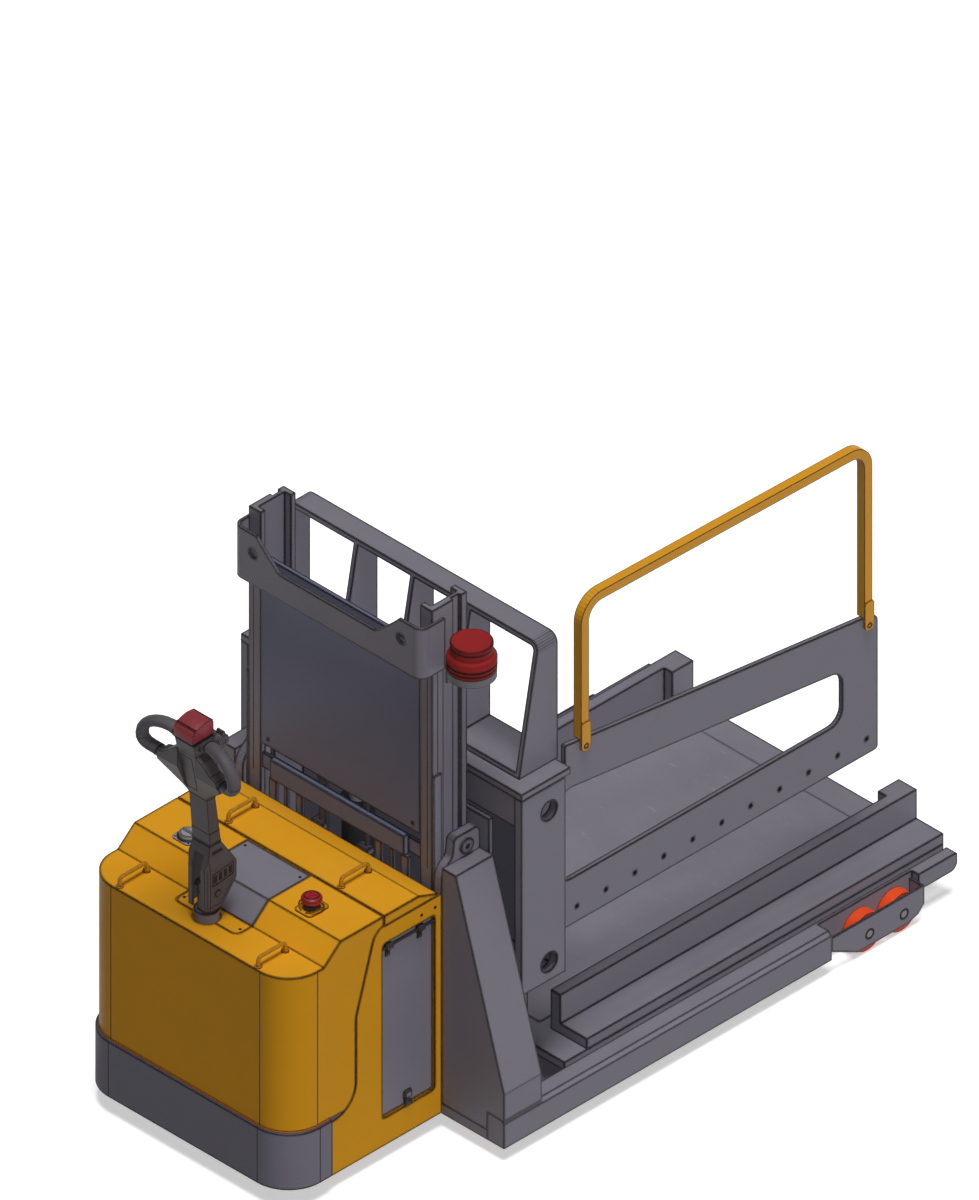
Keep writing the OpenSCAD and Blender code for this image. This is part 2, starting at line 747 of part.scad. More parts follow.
// Single-acting lift cylinder behind the shield
gland_l = 50;
barrel_top = 870;
module lift_cylinder() {
    color(BLACK) at_origin() difference() {
        union() {
            bar_z(leg_low_z + base_t, barrel_top, 0, roller_y, cylinder_r);
            block([-60, roller_y - 60, leg_low_z + base_t], [60, roller_y + 60, leg_low_z + base_t + 15]);
            bar_z(barrel_top - gland_l, barrel_top, 0, roller_y, cylinder_r + 4);
        }
        bar_z(leg_low_z + base_t + 25, barrel_top - gland_l, 0, roller_y, cylinder_r - 8);
        bar_z(leg_low_z + base_t + 24, barrel_top + 1, 0, roller_y, ram_r + fit);
    }
}

module lift_ram() {
    color(BRIGHT) at_origin() {
        bar_z(leg_low_z + base_t + 40, carriage_top_z - 40, 0, roller_y, ram_r);
        bar_z(leg_low_z + base_t + 30, leg_low_z + base_t + 70, 0, roller_y, cylinder_r - 8 - fit);
    }
}

// Roller plates, crosshead and front plate of the carriage
module carriage_frame() {
    x = flange_x - 2;
    color(DARK) at_origin() {
        for (s = [1, -1]) side(s) {
            yz_plate(x - carriage_t, x, [[mast_y + 35, 330], [carriage_y, 330], [carriage_y, frame_low_z],
                [carriage_y + 1, frame_low_z], [carriage_y + 1, carriage_top_z],
                [mast_y + 35, carriage_top_z]]);
            for (z = [roller_low_z, roller_high_z]) {
                bar_x(x - 1, web_x - 3, roller_y, z, stub_r);
            }
        }
        block([-x, roller_y - 30, carriage_top_z - 40], [x, roller_y + 30, carriage_top_z]);
        block([-carriage_half, carriage_y, frame_low_z],
            [carriage_half, carriage_y + carriage_t, carriage_top_z]);
    }
}

module roller_pair(z) {
    x1 = web_x - 2;
    color(BRIGHT) at_origin() for (s = [1, -1]) side(s) difference() {
        bar_x(x1 - roller_w, x1, roller_y, z, roller_r);
        bar_x(x1 - roller_w - 1, x1 + 1, roller_y, z, stub_r + fit);
    }
}
module upper_rollers() { roller_pair(roller_high_z); }
module lower_rollers() { roller_pair(roller_low_z); }

module load_column(s) {
    color(STEEL) at_origin() side(s) difference() {
        block([frame_in, frame_y, frame_low_z], [frame_w / 2, frame_back, frame_top_z]);
        for (z = [bore_low_z, bore_high_z])
            bar_x(frame_in - 1, frame_w / 2 + 1, frame_y + 107, z, column_bore_r);
    }
}
module load_column_right() { load_column(1); }
module load_column_left() { load_column(-1); }

// Cross beam, rear plate and floor of the box between the columns, with the notch for the side arm
module load_box() {
    x = frame_in;
    color(DARK) at_origin() difference() {
        union() {
            block([-x, frame_y + 3, frame_top_z - beam_h], [x, frame_y + 23, frame_top_z]);
            block([-x, frame_back - 16, frame_low_z], [x, frame_back, frame_top_z]);
            block([-x, carriage_y + carriage_t, frame_low_z], [x, frame_back - 15, frame_low_z + 16]);
        }
        block([arm_out - arm_t, frame_y + 30, arm_low_z], [x + 1, frame_back + 1, frame_top_z + 1]);
    }
}

module cap_plate() {
    color(STEEL) at_origin() block([-frame_w / 2, frame_y, frame_top_z],
        [frame_w / 2, frame_back + cap_over, cap_top]);
}

module backrest() {
    w = backrest_w / 2;
    t = backrest_t;
    z1 = cap_top + backrest_h;
    back = frame_back + cap_over + 6;
    r = 30;
    color(STEEL) at_origin() intersection() {
        union() {
            difference() {
                xz_plate(back - 200, back, rounded([[-w, cap_top], [w, cap_top], [w, z1], [-w, z1]],
                    [0, 0, r, r]));
                xz_plate(back - 201, back + 1, rounded([[t - w, cap_top + t], [w - t, cap_top + t],
                    [w - t, z1 - t], [t - w, z1 - t]], [0, 0, r - t, r - t]));
            }
            for (i = [-1:1]) block([i * rib_pitch - t / 2, back - 200, cap_top + t - 1],
                [i * rib_pitch + t / 2, back, z1 - t + 1]);
        }
        yz_plate(-w, w, [[back - backrest_foot_d, cap_top], [back, cap_top], [back, z1],
            [back - backrest_top_d, z1]]);
    }
}

module platform() {
    low = platform_top_z - platform_t;
    rib = 12;
    pitch_x = (platform_w - rib) / 4;
    pitch_y = (platform_end_y - platform_y - rib) / 3;
    color(STEEL) at_origin() {
        difference() {
            block([-platform_w / 2, platform_y, low], [platform_w / 2, platform_end_y, platform_top_z]);
            for (i = [0:3], j = [0:2]) translate([i * pitch_x - platform_w / 2 + rib,
                platform_y + rib + j * pitch_y, low - 1])
                cube([pitch_x - rib, pitch_y - rib, platform_t - 9]);
        }
        for (s = [1, -1]) side(s) {
            block([250, platform_y + 3, platform_top_z - 1], [400, frame_back - gap * 10, frame_low_z]);
            yz_plate(318, 332, [[frame_back - 4, platform_top_z - 1], [frame_back + 46, platform_top_z - 1],
                [frame_back - 4, frame_low_z - 60]]);
        }
        block([rail_w - platform_w / 2 + 42, rail_y, platform_top_z - 1],
            [platform_w / 2 - rail_w - 42, platform_end_y - 92, platform_top_z + field_t]);
    }
}

module guide_rails() {
    x1 = platform_w / 2;
    x0 = x1 - rail_w;
    z0 = platform_top_z;
    t = 6;
    color(STEEL) at_origin() for (s = [1, -1]) side(s) {
        difference() {
            xz_plate(rail_y, platform_end_y, [[x0, z0], [x1, z0], [x1, z0 + rail_foot_t],
                [x0 + rail_flange_t, z0 + rail_foot_t], [x0 + rail_flange_t, z0 + rail_h],
                [x0, z0 + rail_h]]);
            xz_plate(rail_y + t, platform_end_y - t, [[x0 + t, z0 - 1], [x1 - t, z0 - 1],
                [x1 - t, z0 + rail_foot_t - t], [x0 + rail_flange_t - t, z0 + rail_foot_t - t],
                [x0 + rail_flange_t - t, z0 + rail_h - t], [x0 + t, z0 + rail_h - t]]);
        }
        block([x0 - 32, platform_end_y - 82, z0], [x0 + 1, platform_end_y, z0 + rail_h]);
    }
}

// Height of the side arm's upper edge at a given distance from the front face
arm_slope = (arm_far_z - arm_near_z) / (arm_end_y - frame_back);
function arm_top(y) = arm_near_z + arm_slope * (y - frame_back);

module side_arm() {
    y0 = frame_y + 30;
    y1 = frame_back + cap_over + 6;
    slot_near = frame_back + 10;
    slot_far = arm_end_y - 136;
    color(STEEL) at_origin() difference() {
        yz_plate(arm_out - arm_t, arm_out, rounded(
            [[y0, arm_low_z], [arm_end_y, arm_low_z], [arm_end_y, arm_far_z], [y1, arm_top(y1)],
             [y1, frame_top_z], [y0, frame_top_z]], [0, 12, 30, 6, 0, 0]));
        yz_plate(arm_out - arm_t - 1, arm_out + 1, rounded(
            [[slot_near, arm_low_z + 155], [slot_far, arm_low_z + 155], [slot_far, arm_top(slot_far) - 147],
             [slot_near, arm_top(slot_near) - 147]], [40, 48, 48, 40], 8));
        for (y = [arm_end_y - 44:-arm_hole_pitch:frame_back + 60])
            bar_x(arm_out - arm_t - 1, arm_out + 1, y, arm_low_z + 52, arm_hole_r);
        for (y = [guard_near_y, guard_far_y])
            bar_x(arm_out - arm_t - 1, arm_out + 1, y, arm_top(y) - 22, arm_hole_r);
    }
}

module guard_rail() {
    x0 = arm_out - arm_t / 2 - guard_s / 2;
    h = guard_s / 2;
    near0 = arm_top(guard_near_y) + 4;
    far0 = arm_top(guard_far_y) + 4;
    color(YELLOW) at_origin() difference() {
        union() {
            yz_plate(x0, x0 + guard_s, concat(
                [[guard_near_y - h, near0]],
                corner([guard_near_y - h, near0], [guard_near_y - h, guard_near_z],
                    [guard_far_y + h, guard_far_z], 80, 10),
                corner([guard_near_y - h, guard_near_z], [guard_far_y + h, guard_far_z],
                    [guard_far_y + h, far0], 80, 10),
                [[guard_far_y + h, far0], [guard_far_y - h, far0]],
                corner([guard_far_y - h, far0], [guard_far_y - h, guard_far_z - guard_s],
                    [guard_near_y + h, guard_near_z - guard_s], 50, 10),
                corner([guard_far_y - h, guard_far_z - guard_s], [guard_near_y + h, guard_near_z - guard_s],
                    [guard_near_y + h, near0], 50, 10),
                [[guard_near_y + h, near0]]));
            for (y = [guard_near_y, guard_far_y]) yz_plate(arm_out, x0 + guard_s, rounded(
                [[y - h, arm_top(y) - 38], [y + h, arm_top(y) - 38], [y + h, arm_top(y) + 30],
                 [y - h, arm_top(y) + 30]], [14, 14, 0, 0]));
        }
        for (y = [guard_near_y, guard_far_y])
            bar_x(arm_out - 1, x0 + guard_s + 1, y, arm_top(y) - 22, arm_hole_r);
    }
}

module drive_turret() {
    gear_x = drive_wheel_w / 2 + 6;
    z = drive_wheel_r;
    color(BLACK) at_origin() {
        bar_z(floor_z - 16, floor_z + floor_t + 1, 0, drive_y, 104 - gap);
        bar_z(floor_z + floor_t + gap, floor_z + floor_t + 13, 0, drive_y, 126);
        for (s = [1, -1]) side(s) {
            yz_plate(gear_x, gear_x + 12, [[drive_y - 34, z - 20], [drive_y - 20, z - 34],
                [drive_y + 20, z - 34], [drive_y + 34, z - 20], [drive_y + 60, floor_z - 15],
                [drive_y - 60, floor_z - 15]]);
        }
        bar_x(gear_x + 11, gear_x + 40, drive_y, z, 46);
        bar_x(-gear_x - 12, gear_x + 12, drive_y, z, 15);
        bar_z(floor_z + floor_t + 12, sprocket_z - 20, 0, drive_y, 76);
        bar_z(sprocket_z - 21, sprocket_z + 14, 0, drive_y, 18);
        bar_z(sprocket_z, sprocket_z + 12, 0, drive_y, 42);
    }
}

module drive_wheel() {
    color(BLACK) at_origin() difference() {
        bar_x(-drive_wheel_w / 2, drive_wheel_w / 2, drive_y, drive_wheel_r, drive_wheel_r);
        bar_x(-drive_wheel_w, drive_wheel_w, drive_y, drive_wheel_r, 15 + fit);
        for (s = [1, -1]) side(s) difference() {
            bar_x(drive_wheel_w / 2 - 14, drive_wheel_w, drive_y, drive_wheel_r, drive_wheel_r - 30);
            bar_x(drive_wheel_w / 2 - 15, drive_wheel_w + 1, drive_y, drive_wheel_r, 34);
        }
    }
}

module steer_column() {
    neck = 26;
    color(DARK) at_origin() difference() {
        union() {
            bar_z(sprocket_z - 12, deck_z - 39, 0, column_y, 20);
            bar_z(sprocket_z, sprocket_z + 12, 0, column_y, 42);
            bar_z(deck_z - 40, deck_z + 32, 0, column_y, column_r);
            block([-neck / 2, column_y - 22, deck_z + 31], [neck / 2, column_y + 10, pivot_z]);
            bar_x(-neck / 2, neck / 2, column_y, pivot_z, 24);
        }
        bar_x(-neck, neck, column_y, pivot_z, pivot_pin_r + fit);
    }
}

// Lower housing of the tiller: a shell around the tilt pivot with a slot in its front
module tiller_housing() {
    w = housing_w / 2;
    f = housing_front;
    z0 = pivot_z - 52;
    z1 = pivot_z + 158;
    wall = 7;
    color(DARK) at_origin() {
        difference() {
            intersection() {
                yz_plate(-w, w, rounded([[f, z0], [f + 56, z0], [f + 112, z0 + 72], [f + 112, z0 + 130],
                    [f + 62, z1], [f + 18, z1], [f - 1, z0 + 137]], [4, 10, 12, 14, 0, 0, 8], 4));
                xz_plate(f - 10, f + 140, [[-w, z0], [w, z0], [w, z0 + 137], [arm_w / 2, z1],
                    [-arm_w / 2, z1], [-w, z0 + 137]]);
                translate([0, 0, z0]) linear_extrude(z1 - z0) polygon([[12 - w, f - 5], [w - 12, f - 5],
                    [w - 12, f], [w, f + 12], [w, f + 140], [-w, f + 140], [-w, f + 12], [12 - w, f]]);
            }
            yz_plate(wall - w, w - wall, [[f + wall, z0 - 1], [f + 52, z0 - 1], [f + 104, z0 + 74],
                [f + 104, z0 + 126], [f + 60, z1 - 20], [f + 26, z1 - 20], [f + wall, z0 + 136]]);
            block([-16, f - 10, z0 - 1], [16, f + 30, z1 - 30]);
        }
        bar_x(1 - w, w - 1, column_y, pivot_z, pivot_pin_r);
    }
}

arm_foot_z = pivot_z + 158;
arm_top_z = pivot_z + 322;
module tiller_arm() {
    f = housing_front;
    color(DARK) at_origin() xz_intersect(f, arm_w, arm_foot_z, arm_top_z);
}
module xz_intersect(f, w, z0, z1) {
    yz_plate(-w / 2, w / 2, [[f + 19, z0], [f + 61, z0], [f + 38, z1], [f + 6, z1]]);
}

// Tiller head with the core of the safety button and the bearing of the throttle
throttle_y = column_y + 4;
throttle_z = pivot_z + 516;
head_top_z = pivot_z + 528;
core_t = 6;
module tiller_head() {
    f = housing_front;
    w = head_w / 2;
    z0 = arm_top_z;
    color(DARK) at_origin() difference() {
        union() {
            yz_plate(-w, w, rounded([[f + 5, z0], [f + 39, z0], [f + 50, z0 + 60], [f + 31, head_top_z + 4],
                [f - 47, head_top_z], [f - 24, z0 + 100]], [0, 0, 30, 4, 4, 40], 5));
            yz_plate(core_t - w, w - core_t, [[f - 40, head_top_z - 2], [f + 24, head_top_z - 2],
                [f + 24, head_top_z + 22], [f - 40, head_top_z + 16]]);
            bar_x(-w, w, throttle_y, throttle_z, 16);
            block([-w, throttle_y - 40, throttle_z - 14], [w, throttle_y, throttle_z + 12]);
            // The horns that carry the lower ends of the grips
            for (s = [1, -1]) side(s) intersection() {
                xz_plate(f - 60, f + 60, [[w - 2, z0 + 4], [w + 18, z0 + 26], [w + 53, z0 + 55], [w + 85, z0 + 82],
                    [w + 75, z0 + 118], [w + 53, z0 + 126], [w + 19, z0 + 156], [w - 2, z0 + 166]]);
                yz_plate(0, w + 100, [[f + 5, z0], [f + 42, z0], [f + 6, z0 + 100], [f - 2, head_top_z],
                    [f - 41, head_top_z], [f - 38, z0 + 100]]);
            }
        }
        bar_x(-w - 1, w + 1, throttle_y, throttle_z, 6 + fit);
    }
}

module safety_button() {
    f = housing_front;
    w = head_w / 2;
    z0 = head_top_z + button_travel + 1.5;
    lower = [[f - 47, z0], [f + 27, z0 + 3], [f + 27, z0 + 45], [f + 10, z0 + 46], [f - 46, z0 + 28]];
    color(RED) at_origin() difference() {
        yz_plate(-w, w, rounded(lower, [3, 0, 8, 8, 8], 4));
        yz_plate(core_t - w - gap, w - core_t + gap, [[f - 40 - gap, z0 - 1], [f + 24 + gap, z0 - 1],
            [f + 24 + gap, head_top_z + 22 + button_travel + 1.5],
            [f - 40 - gap, head_top_z + 16 + button_travel + 1.5]]);
    }
}

module throttle_wings() {
    x = head_w / 2 + 2;
    color(STEEL) at_origin() {
        bar_x(-x - 4, x + 4, throttle_y, throttle_z, 6);
        for (s = [1, -1]) side(s) {
            bar_x(x, x + 24, throttle_y, throttle_z, 15);
            yz_plate(x, x + 24, rounded([[throttle_y - 6, throttle_z], [throttle_y + 6, throttle_z],
                [throttle_y + 5, throttle_z + 34], [throttle_y - 5, throttle_z + 34]], [0, 0, 4, 4], 4));
        }
    }
}

// An oval tube swept along points by rings that keep one direction fixed
grip_oval = 1.3;
function ring_at(p, t, r, n) =
    let (u = unit(cross(t, [0, 1, 0.18])), v = grip_oval * unit(cross(t, u)))
    [for (k = [0:n - 1]) p + r * (cos(360 * k / n) * u + sin(360 * k / n) * v)];
function tangent(path, i) = unit(path[min(i + 1, len(path) - 1)] - path[max(i - 1, 0)]);
module tube(path, r, n) {
    m = len(path);
    points = [for (i = [0:m - 1]) each ring_at(path[i], tangent(path, i), r, n)];
    faces = concat([[for (k = [0:n - 1]) k]], [[for (k = [n - 1:-1:0]) (m - 1) * n + k]],
        [for (i = [0:m - 2], k = [0:n - 1])
            each [[i * n + k, (i + 1) * n + k, i * n + (k + 1) % n],
                  [i * n + (k + 1) % n, (i + 1) * n + k, (i + 1) * n + (k + 1) % n]]]);
    polyhedron(points, faces);
}
function bezier(a, b, c, d, t) =
    pow(1 - t, 3) * a + 3 * pow(1 - t, 2) * t * b + 3 * (1 - t) * t * t * c + pow(t, 3) * d;
function curve(a, b, c, d, n) = [for (i = [0:n]) bezier(a, b, c, d, i / n)];

module tiller_grips() {
    f = housing_front;
    w = head_w / 2;
    reach = grips_w / 2 - grip_r;
    top = head_top_z - 18;
    root = [8, 0, 0];
    upper = [w, f - 9, top + 2];
    outer = [reach, f - 32, top - 40];
    // The lower end stands square on the horn's tip
    tip = [w + 80, f - 16, arm_top_z + 100];
    lower = tip + 8 * unit([36, 0, 10]);
    color(DARK) at_origin() for (s = [1, -1]) side(s) tube(concat([upper],
        curve(upper + root, [w + 48, f - 13, top + 35], [reach - 6, f - 37, top + 20], outer, 8),
        [for (i = [1:8]) bezier(outer, [reach + 4, f - 31, top - 80], lower + 25 * unit([36, -4, 10]), lower,
            i / 8)], [tip]), grip_r, 12);
}

module stop_base() {
    color(YELLOW) at_origin() {
        yz_round_plate(stop_x, 34, 42);
        difference() {
            bar_z(hood_z, hood_z + 17, stop_x, control_y, 19);
            bar_z(hood_z - 1, hood_z + 18, stop_x, control_y, 9 + fit);
        }
    }
}
module yz_round_plate(x, w, l) {
    difference() {
        translate([0, 0, hood_z]) linear_extrude(3) polygon(rounded(
            [[x - w, control_y - l], [x + w, control_y - l], [x + w, control_y + l], [x - w, control_y + l]],
            [16, 16, 16, 16]));
        bar_z(hood_z - 1, hood_z + 4, x, control_y, 12);
    }
}
module stop_knob() {
    z = hood_z + 17 + stop_travel + 1;
    color(RED) at_origin() {
        bar_z(hood_z - 14, z + 2, stop_x, control_y, 9);
        translate([stop_x, control_y, z]) rotate_extrude($fn = 64) polygon(
            [[0, 0], [stop_r - 2, 0], [stop_r, 2], [stop_r, 12], [stop_r - 2, 16], [stop_r - 8, 19], [0, 20]]);
    }
}

module switch_base() {
    color(STEEL) at_origin() {
        yz_round_plate(-switch_x, 36, 36);
        difference() {
            bar_z(hood_z, hood_z + 16, -switch_x, control_y, 27);
            bar_z(hood_z - 1, hood_z + 17, -switch_x, control_y, 8 + fit);
            bar_z(hood_z + 10, hood_z + 17, -switch_x, control_y, 22);
        }
    }
}
module switch_knob() {
    color(BRIGHT) at_origin() {
        bar_z(hood_z - 14, hood_z + 12, -switch_x, control_y, 8);
        bar_z(hood_z + 10 + gap, hood_z + 17, -switch_x, control_y, 22 - gap);
        block([-switch_x - 18, control_y - 3, hood_z + 16], [-switch_x + 18, control_y + 3, hood_z + 24]);
    }
}

beacon_y = mast_y + 70;
module beacon_base() {
    color(STEEL) at_origin() {
        bar_z(beacon_z, beacon_z + 24, beacon_x, beacon_y, beacon_r);
        block([mast_half, beacon_y - 18, beacon_z - 8], [beacon_x, beacon_y + 12, beacon_z + 1]);
        block([mast_half, beacon_y - 18, beacon_z - 60], [mast_half + 6, beacon_y + 12, beacon_z]);
        bar_z(beacon_z - 24, beacon_z + 1, beacon_x, beacon_y, 7);
    }
}
module beacon_lens() {
    z = beacon_z + 24;
    color(RED) at_origin() translate([beacon_x, beacon_y, z]) rotate_extrude($fn = 64) polygon(
        [[0, 0], [beacon_r - 2, 0], [beacon_r - 2, 8], [beacon_r - 5, 12], [beacon_r - 3, 28],
         [beacon_r - 8, 40], [beacon_r - 16, 46], [beacon_r - 11, 58], [beacon_r - 12, 74],
         [beacon_r - 18, 82], [0, 84]]);
}

chassis_frame();
base_frame();
leg_right();
leg_left();
gusset_right();
gusset_left();
mast_lugs();
mast_pins();
mast_upright_right();
mast_upright_left();
mast_top_bracket();
mast_shield();
mast_cross_bar();
wheel_brackets();
load_axles();
bumper();
front_cover();
top_panel();
tiller_plate();
side_frames();
front_handles();
battery();
pump_unit();
lift_cylinder();
stop_base();
switch_base();
beacon_base();
beacon_lens();
rear_lid();
lid_handles();
side_door_right();
side_door_left();
stop_knob();
switch_knob();
steer_column();
tiller_housing();
tiller_arm();
tiller_head();
tiller_grips();
safety_button();
throttle_wings();
drive_turret();
drive_wheel();
load_wheel_right_near();
load_wheel_right_far();
load_wheel_left_near();
load_wheel_left_far();
carriage_frame();
upper_rollers();
lower_rollers();
lift_ram();
load_column_right();
load_column_left();
load_box();
cap_plate();
backrest();
platform();
guide_rails();
side_arm();
guard_rail();
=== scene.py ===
"""Rack mover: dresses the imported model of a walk-behind straddle lift truck."""

import math

import bmesh
import bpy
from bpy.props import FloatProperty, FloatVectorProperty, PointerProperty
from bpy.types import Operator, Panel, PropertyGroup
from mathutils import Matrix, Vector


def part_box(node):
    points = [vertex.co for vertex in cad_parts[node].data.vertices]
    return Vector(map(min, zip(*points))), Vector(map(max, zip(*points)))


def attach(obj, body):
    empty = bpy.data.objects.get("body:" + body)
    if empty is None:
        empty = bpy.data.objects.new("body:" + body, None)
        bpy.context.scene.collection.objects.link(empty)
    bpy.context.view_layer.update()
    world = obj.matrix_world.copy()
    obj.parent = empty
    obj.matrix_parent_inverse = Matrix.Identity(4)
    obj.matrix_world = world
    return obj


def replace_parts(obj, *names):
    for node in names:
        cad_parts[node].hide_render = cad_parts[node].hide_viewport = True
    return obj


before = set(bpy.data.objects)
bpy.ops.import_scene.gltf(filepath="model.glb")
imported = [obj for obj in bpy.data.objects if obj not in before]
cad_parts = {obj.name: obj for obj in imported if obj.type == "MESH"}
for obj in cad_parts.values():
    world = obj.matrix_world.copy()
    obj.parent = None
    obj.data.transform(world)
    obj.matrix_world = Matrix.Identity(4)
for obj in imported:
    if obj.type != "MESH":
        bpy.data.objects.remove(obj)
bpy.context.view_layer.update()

bl_info = {
    "name": "Rack mover",
    "version": (1, 0, 0),
    "blender": (4, 5, 0),
    "location": "View3D > Sidebar > Rack mover",
    "description": "Finishes, fittings and stage of a walk-behind rack mover",
    "category": "Object",
}

MM = 0.001
# Where the front cover's face stands along Y: the part's frame has its origin half way along the part
FACE_Y = -1.1805

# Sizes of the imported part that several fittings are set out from, in millimetres
HALF_W = 400           # half the width of the power unit
CORNER_R = 112         # its rounded front corners
BUMPER_OUT = 10        # how far the bumper stands out of the cover
BUMPER_TOP = 243
DECK_Z = 760           # the low part of the power unit's top
HOOD_Z = 817           # the high part, with the lid
DOOR_X = 391           # outer face of a side door
DOOR_LOW = 142
DOOR_TOP = 722
DOOR_Y = (365, 564)
DOOR_ROD = (396, 705)  # where the door's hinge rod lies, across and up
DOOR_LATCH = (460, 152)
STOP = (232, 257)      # middle of the emergency stop
SWITCH = (-245, 257)   # middle of the key switch
TILLER_X = 43          # side of the tiller's housing
MAST_X = 355           # outer side of an upright
MAST_Y = 600           # front face of the uprights
MAST_WALL_Y = 591.5    # a little inside the front of what stands between them
ARM_X = 521.8          # outer side of the guard rail, less its overlap with the tabs
GUARD_PINS = ((1025, 1123.7), (2121, 979.6))
COLUMN_X = 543         # outer side of a load column
LEG_X = 641            # outer side of a leg
WHEEL_Y = (2007, 2140)
WHEEL_Z = 60
WHEEL_X = 611.5


def at(x, y, z):
    """A point in millimetres, with Y counted from the front cover's face, in the part's frame."""
    return Vector((x * MM, FACE_Y + y * MM, z * MM))


# ---------------------------------------------------------------- finishes

def new_group(name, ins, outs):
    group = bpy.data.node_groups.new(name, "ShaderNodeTree")
    for label, kind, value in ins:
        sock = group.interface.new_socket(label, in_out="INPUT", socket_type="NodeSocket" + kind)
        sock.default_value = value
    for label, kind in outs:
        group.interface.new_socket(label, in_out="OUTPUT", socket_type="NodeSocket" + kind)
    return group, group.nodes.new("NodeGroupInput"), group.nodes.new("NodeGroupOutput")


def node(tree, kind, **values):
    made = tree.nodes.new("ShaderNode" + kind)
    for key, value in values.items():
        if hasattr(made, key):
            setattr(made, key, value)
        else:
            made.inputs[key.replace("_", " ")].default_value = value
    return made


def math_node(tree, operation, a, b, clamp=False):
    made = tree.nodes.new("ShaderNodeMath")
    made.operation = operation
    made.use_clamp = clamp
    for slot, value in zip(made.inputs, (a, b)):
        if isinstance(value, (int, float)):
            slot.default_value = value
        else:
            tree.links.new(value, slot)
    return made.outputs[0]


def ramp(tree, value, low, high):
    made = tree.nodes.new("ShaderNodeMapRange")
    made.clamp = True
    made.inputs["From Min"].default_value = low
    made.inputs["From Max"].default_value = high
    tree.links.new(value, made.inputs["Value"])
    return made.outputs["Result"]


def edge_line_group():
    """Outlines: a mask along edges, from the angle between the true and a rounded normal."""
    group, inlet, outlet = new_group(
        "edge line", [("Width", "Float", 0.003), ("Softness", "Float", 0.008), ("Breaks", "Float", 0.06)],
        [("Line", "Float"), ("Rounded", "Vector")])
    bevel = node(group, "Bevel", samples=6)
    group.links.new(inlet.outputs["Width"], bevel.inputs["Radius"])
    geo = node(group, "NewGeometry")
    dot = node(group, "VectorMath", operation="DOT_PRODUCT")
    group.links.new(bevel.outputs[0], dot.inputs[0])
    group.links.new(geo.outputs["Normal"], dot.inputs[1])
    bend = math_node(group, "SUBTRACT", 1.0, dot.outputs["Value"])
    line = math_node(group, "DIVIDE", bend, inlet.outputs["Softness"], clamp=True)
    coord = node(group, "TexCoord")
    noise = node(group, "TexNoise", Scale=38.0, Detail=4.0, Roughness=0.65)
    group.links.new(coord.outputs["Object"], noise.inputs["Vector"])
    worn = ramp(group, noise.outputs["Fac"], 0.35, 0.65)
    keep = math_node(group, "SUBTRACT", 1.0, math_node(group, "MULTIPLY", worn, inlet.outputs["Breaks"]))
    group.links.new(math_node(group, "MULTIPLY", line, keep), outlet.inputs["Line"])
    group.links.new(bevel.outputs[0], outlet.inputs["Rounded"])
    return group


def grain_group():
    """Fine orange peel and a slow change of tone, for paint and moulded plastic."""
    group, inlet, outlet = new_group(
        "surface grain", [("Scale", "Float", 600.0), ("Patch", "Float", 3.0)],
        [("Height", "Float"), ("Tone", "Float"), ("Speck", "Float")])
    coord = node(group, "TexCoord")
    fine = node(group, "TexNoise", Detail=3.0, Roughness=0.6)
    slow = node(group, "TexNoise", Detail=5.0, Roughness=0.62)
    speck = node(group, "TexNoise", Scale=900.0, Detail=1.0, Roughness=0.5)
    for tex in (fine, slow, speck):
        group.links.new(coord.outputs["Object"], tex.inputs["Vector"])
    group.links.new(inlet.outputs["Scale"], fine.inputs["Scale"])
    group.links.new(inlet.outputs["Patch"], slow.inputs["Scale"])
    group.links.new(fine.outputs["Fac"], outlet.inputs["Height"])
    group.links.new(ramp(group, slow.outputs["Fac"], 0.3, 0.7), outlet.inputs["Tone"])
    group.links.new(ramp(group, speck.outputs["Fac"], 0.62, 0.72), outlet.inputs["Speck"])
    return group


def dust_group():
    """Shop dust that settles on faces that look up, in patches."""
    group, inlet, outlet = new_group("floor dust", [("Amount", "Float", 0.3)], [("Dust", "Float")])
    geo = node(group, "NewGeometry")
    split = node(group, "SeparateXYZ")
    group.links.new(geo.outputs["Normal"], split.inputs[0])
    up = ramp(group, split.outputs["Z"], 0.35, 0.95)
    coord = node(group, "TexCoord")
    noise = node(group, "TexNoise", Scale=5.5, Detail=7.0, Roughness=0.7)
    group.links.new(coord.outputs["Object"], noise.inputs["Vector"])
    patch = ramp(group, noise.outputs["Fac"], 0.42, 0.72)
    amount = math_node(group, "MULTIPLY", math_node(group, "MULTIPLY", up, patch), inlet.outputs["Amount"])
    group.links.new(amount, outlet.inputs["Dust"])
    return group


def scuff_group():
    """Thin scratches in two directions, for walked-on and rubbed steel."""
    group, inlet, outlet = new_group("scuffs", [("Density", "Float", 0.5)], [("Scuff", "Float")])
    coord = node(group, "TexCoord")
    total = None
    for turn, stretch in ((0.35, 14.0), (-1.05, 9.0)):
        mapping = node(group, "Mapping")
        mapping.inputs["Rotation"].default_value = (0.3, 0.2, turn)
        mapping.inputs["Scale"].default_value = (2.2, 2.2 * stretch, 2.2 * stretch)
        group.links.new(coord.outputs["Object"], mapping.inputs["Vector"])
        noise = node(group, "TexNoise", Scale=4.0, Detail=3.0, Roughness=0.75)
        group.links.new(mapping.outputs[0], noise.inputs["Vector"])
        one = ramp(group, noise.outputs["Fac"], 0.66, 0.74)
        total = one if total is None else math_node(group, "MAXIMUM", total, one)
    group.links.new(math_node(group, "MULTIPLY", total, inlet.outputs["Density"]), outlet.inputs["Scuff"])
    return group


GROUPS = {}


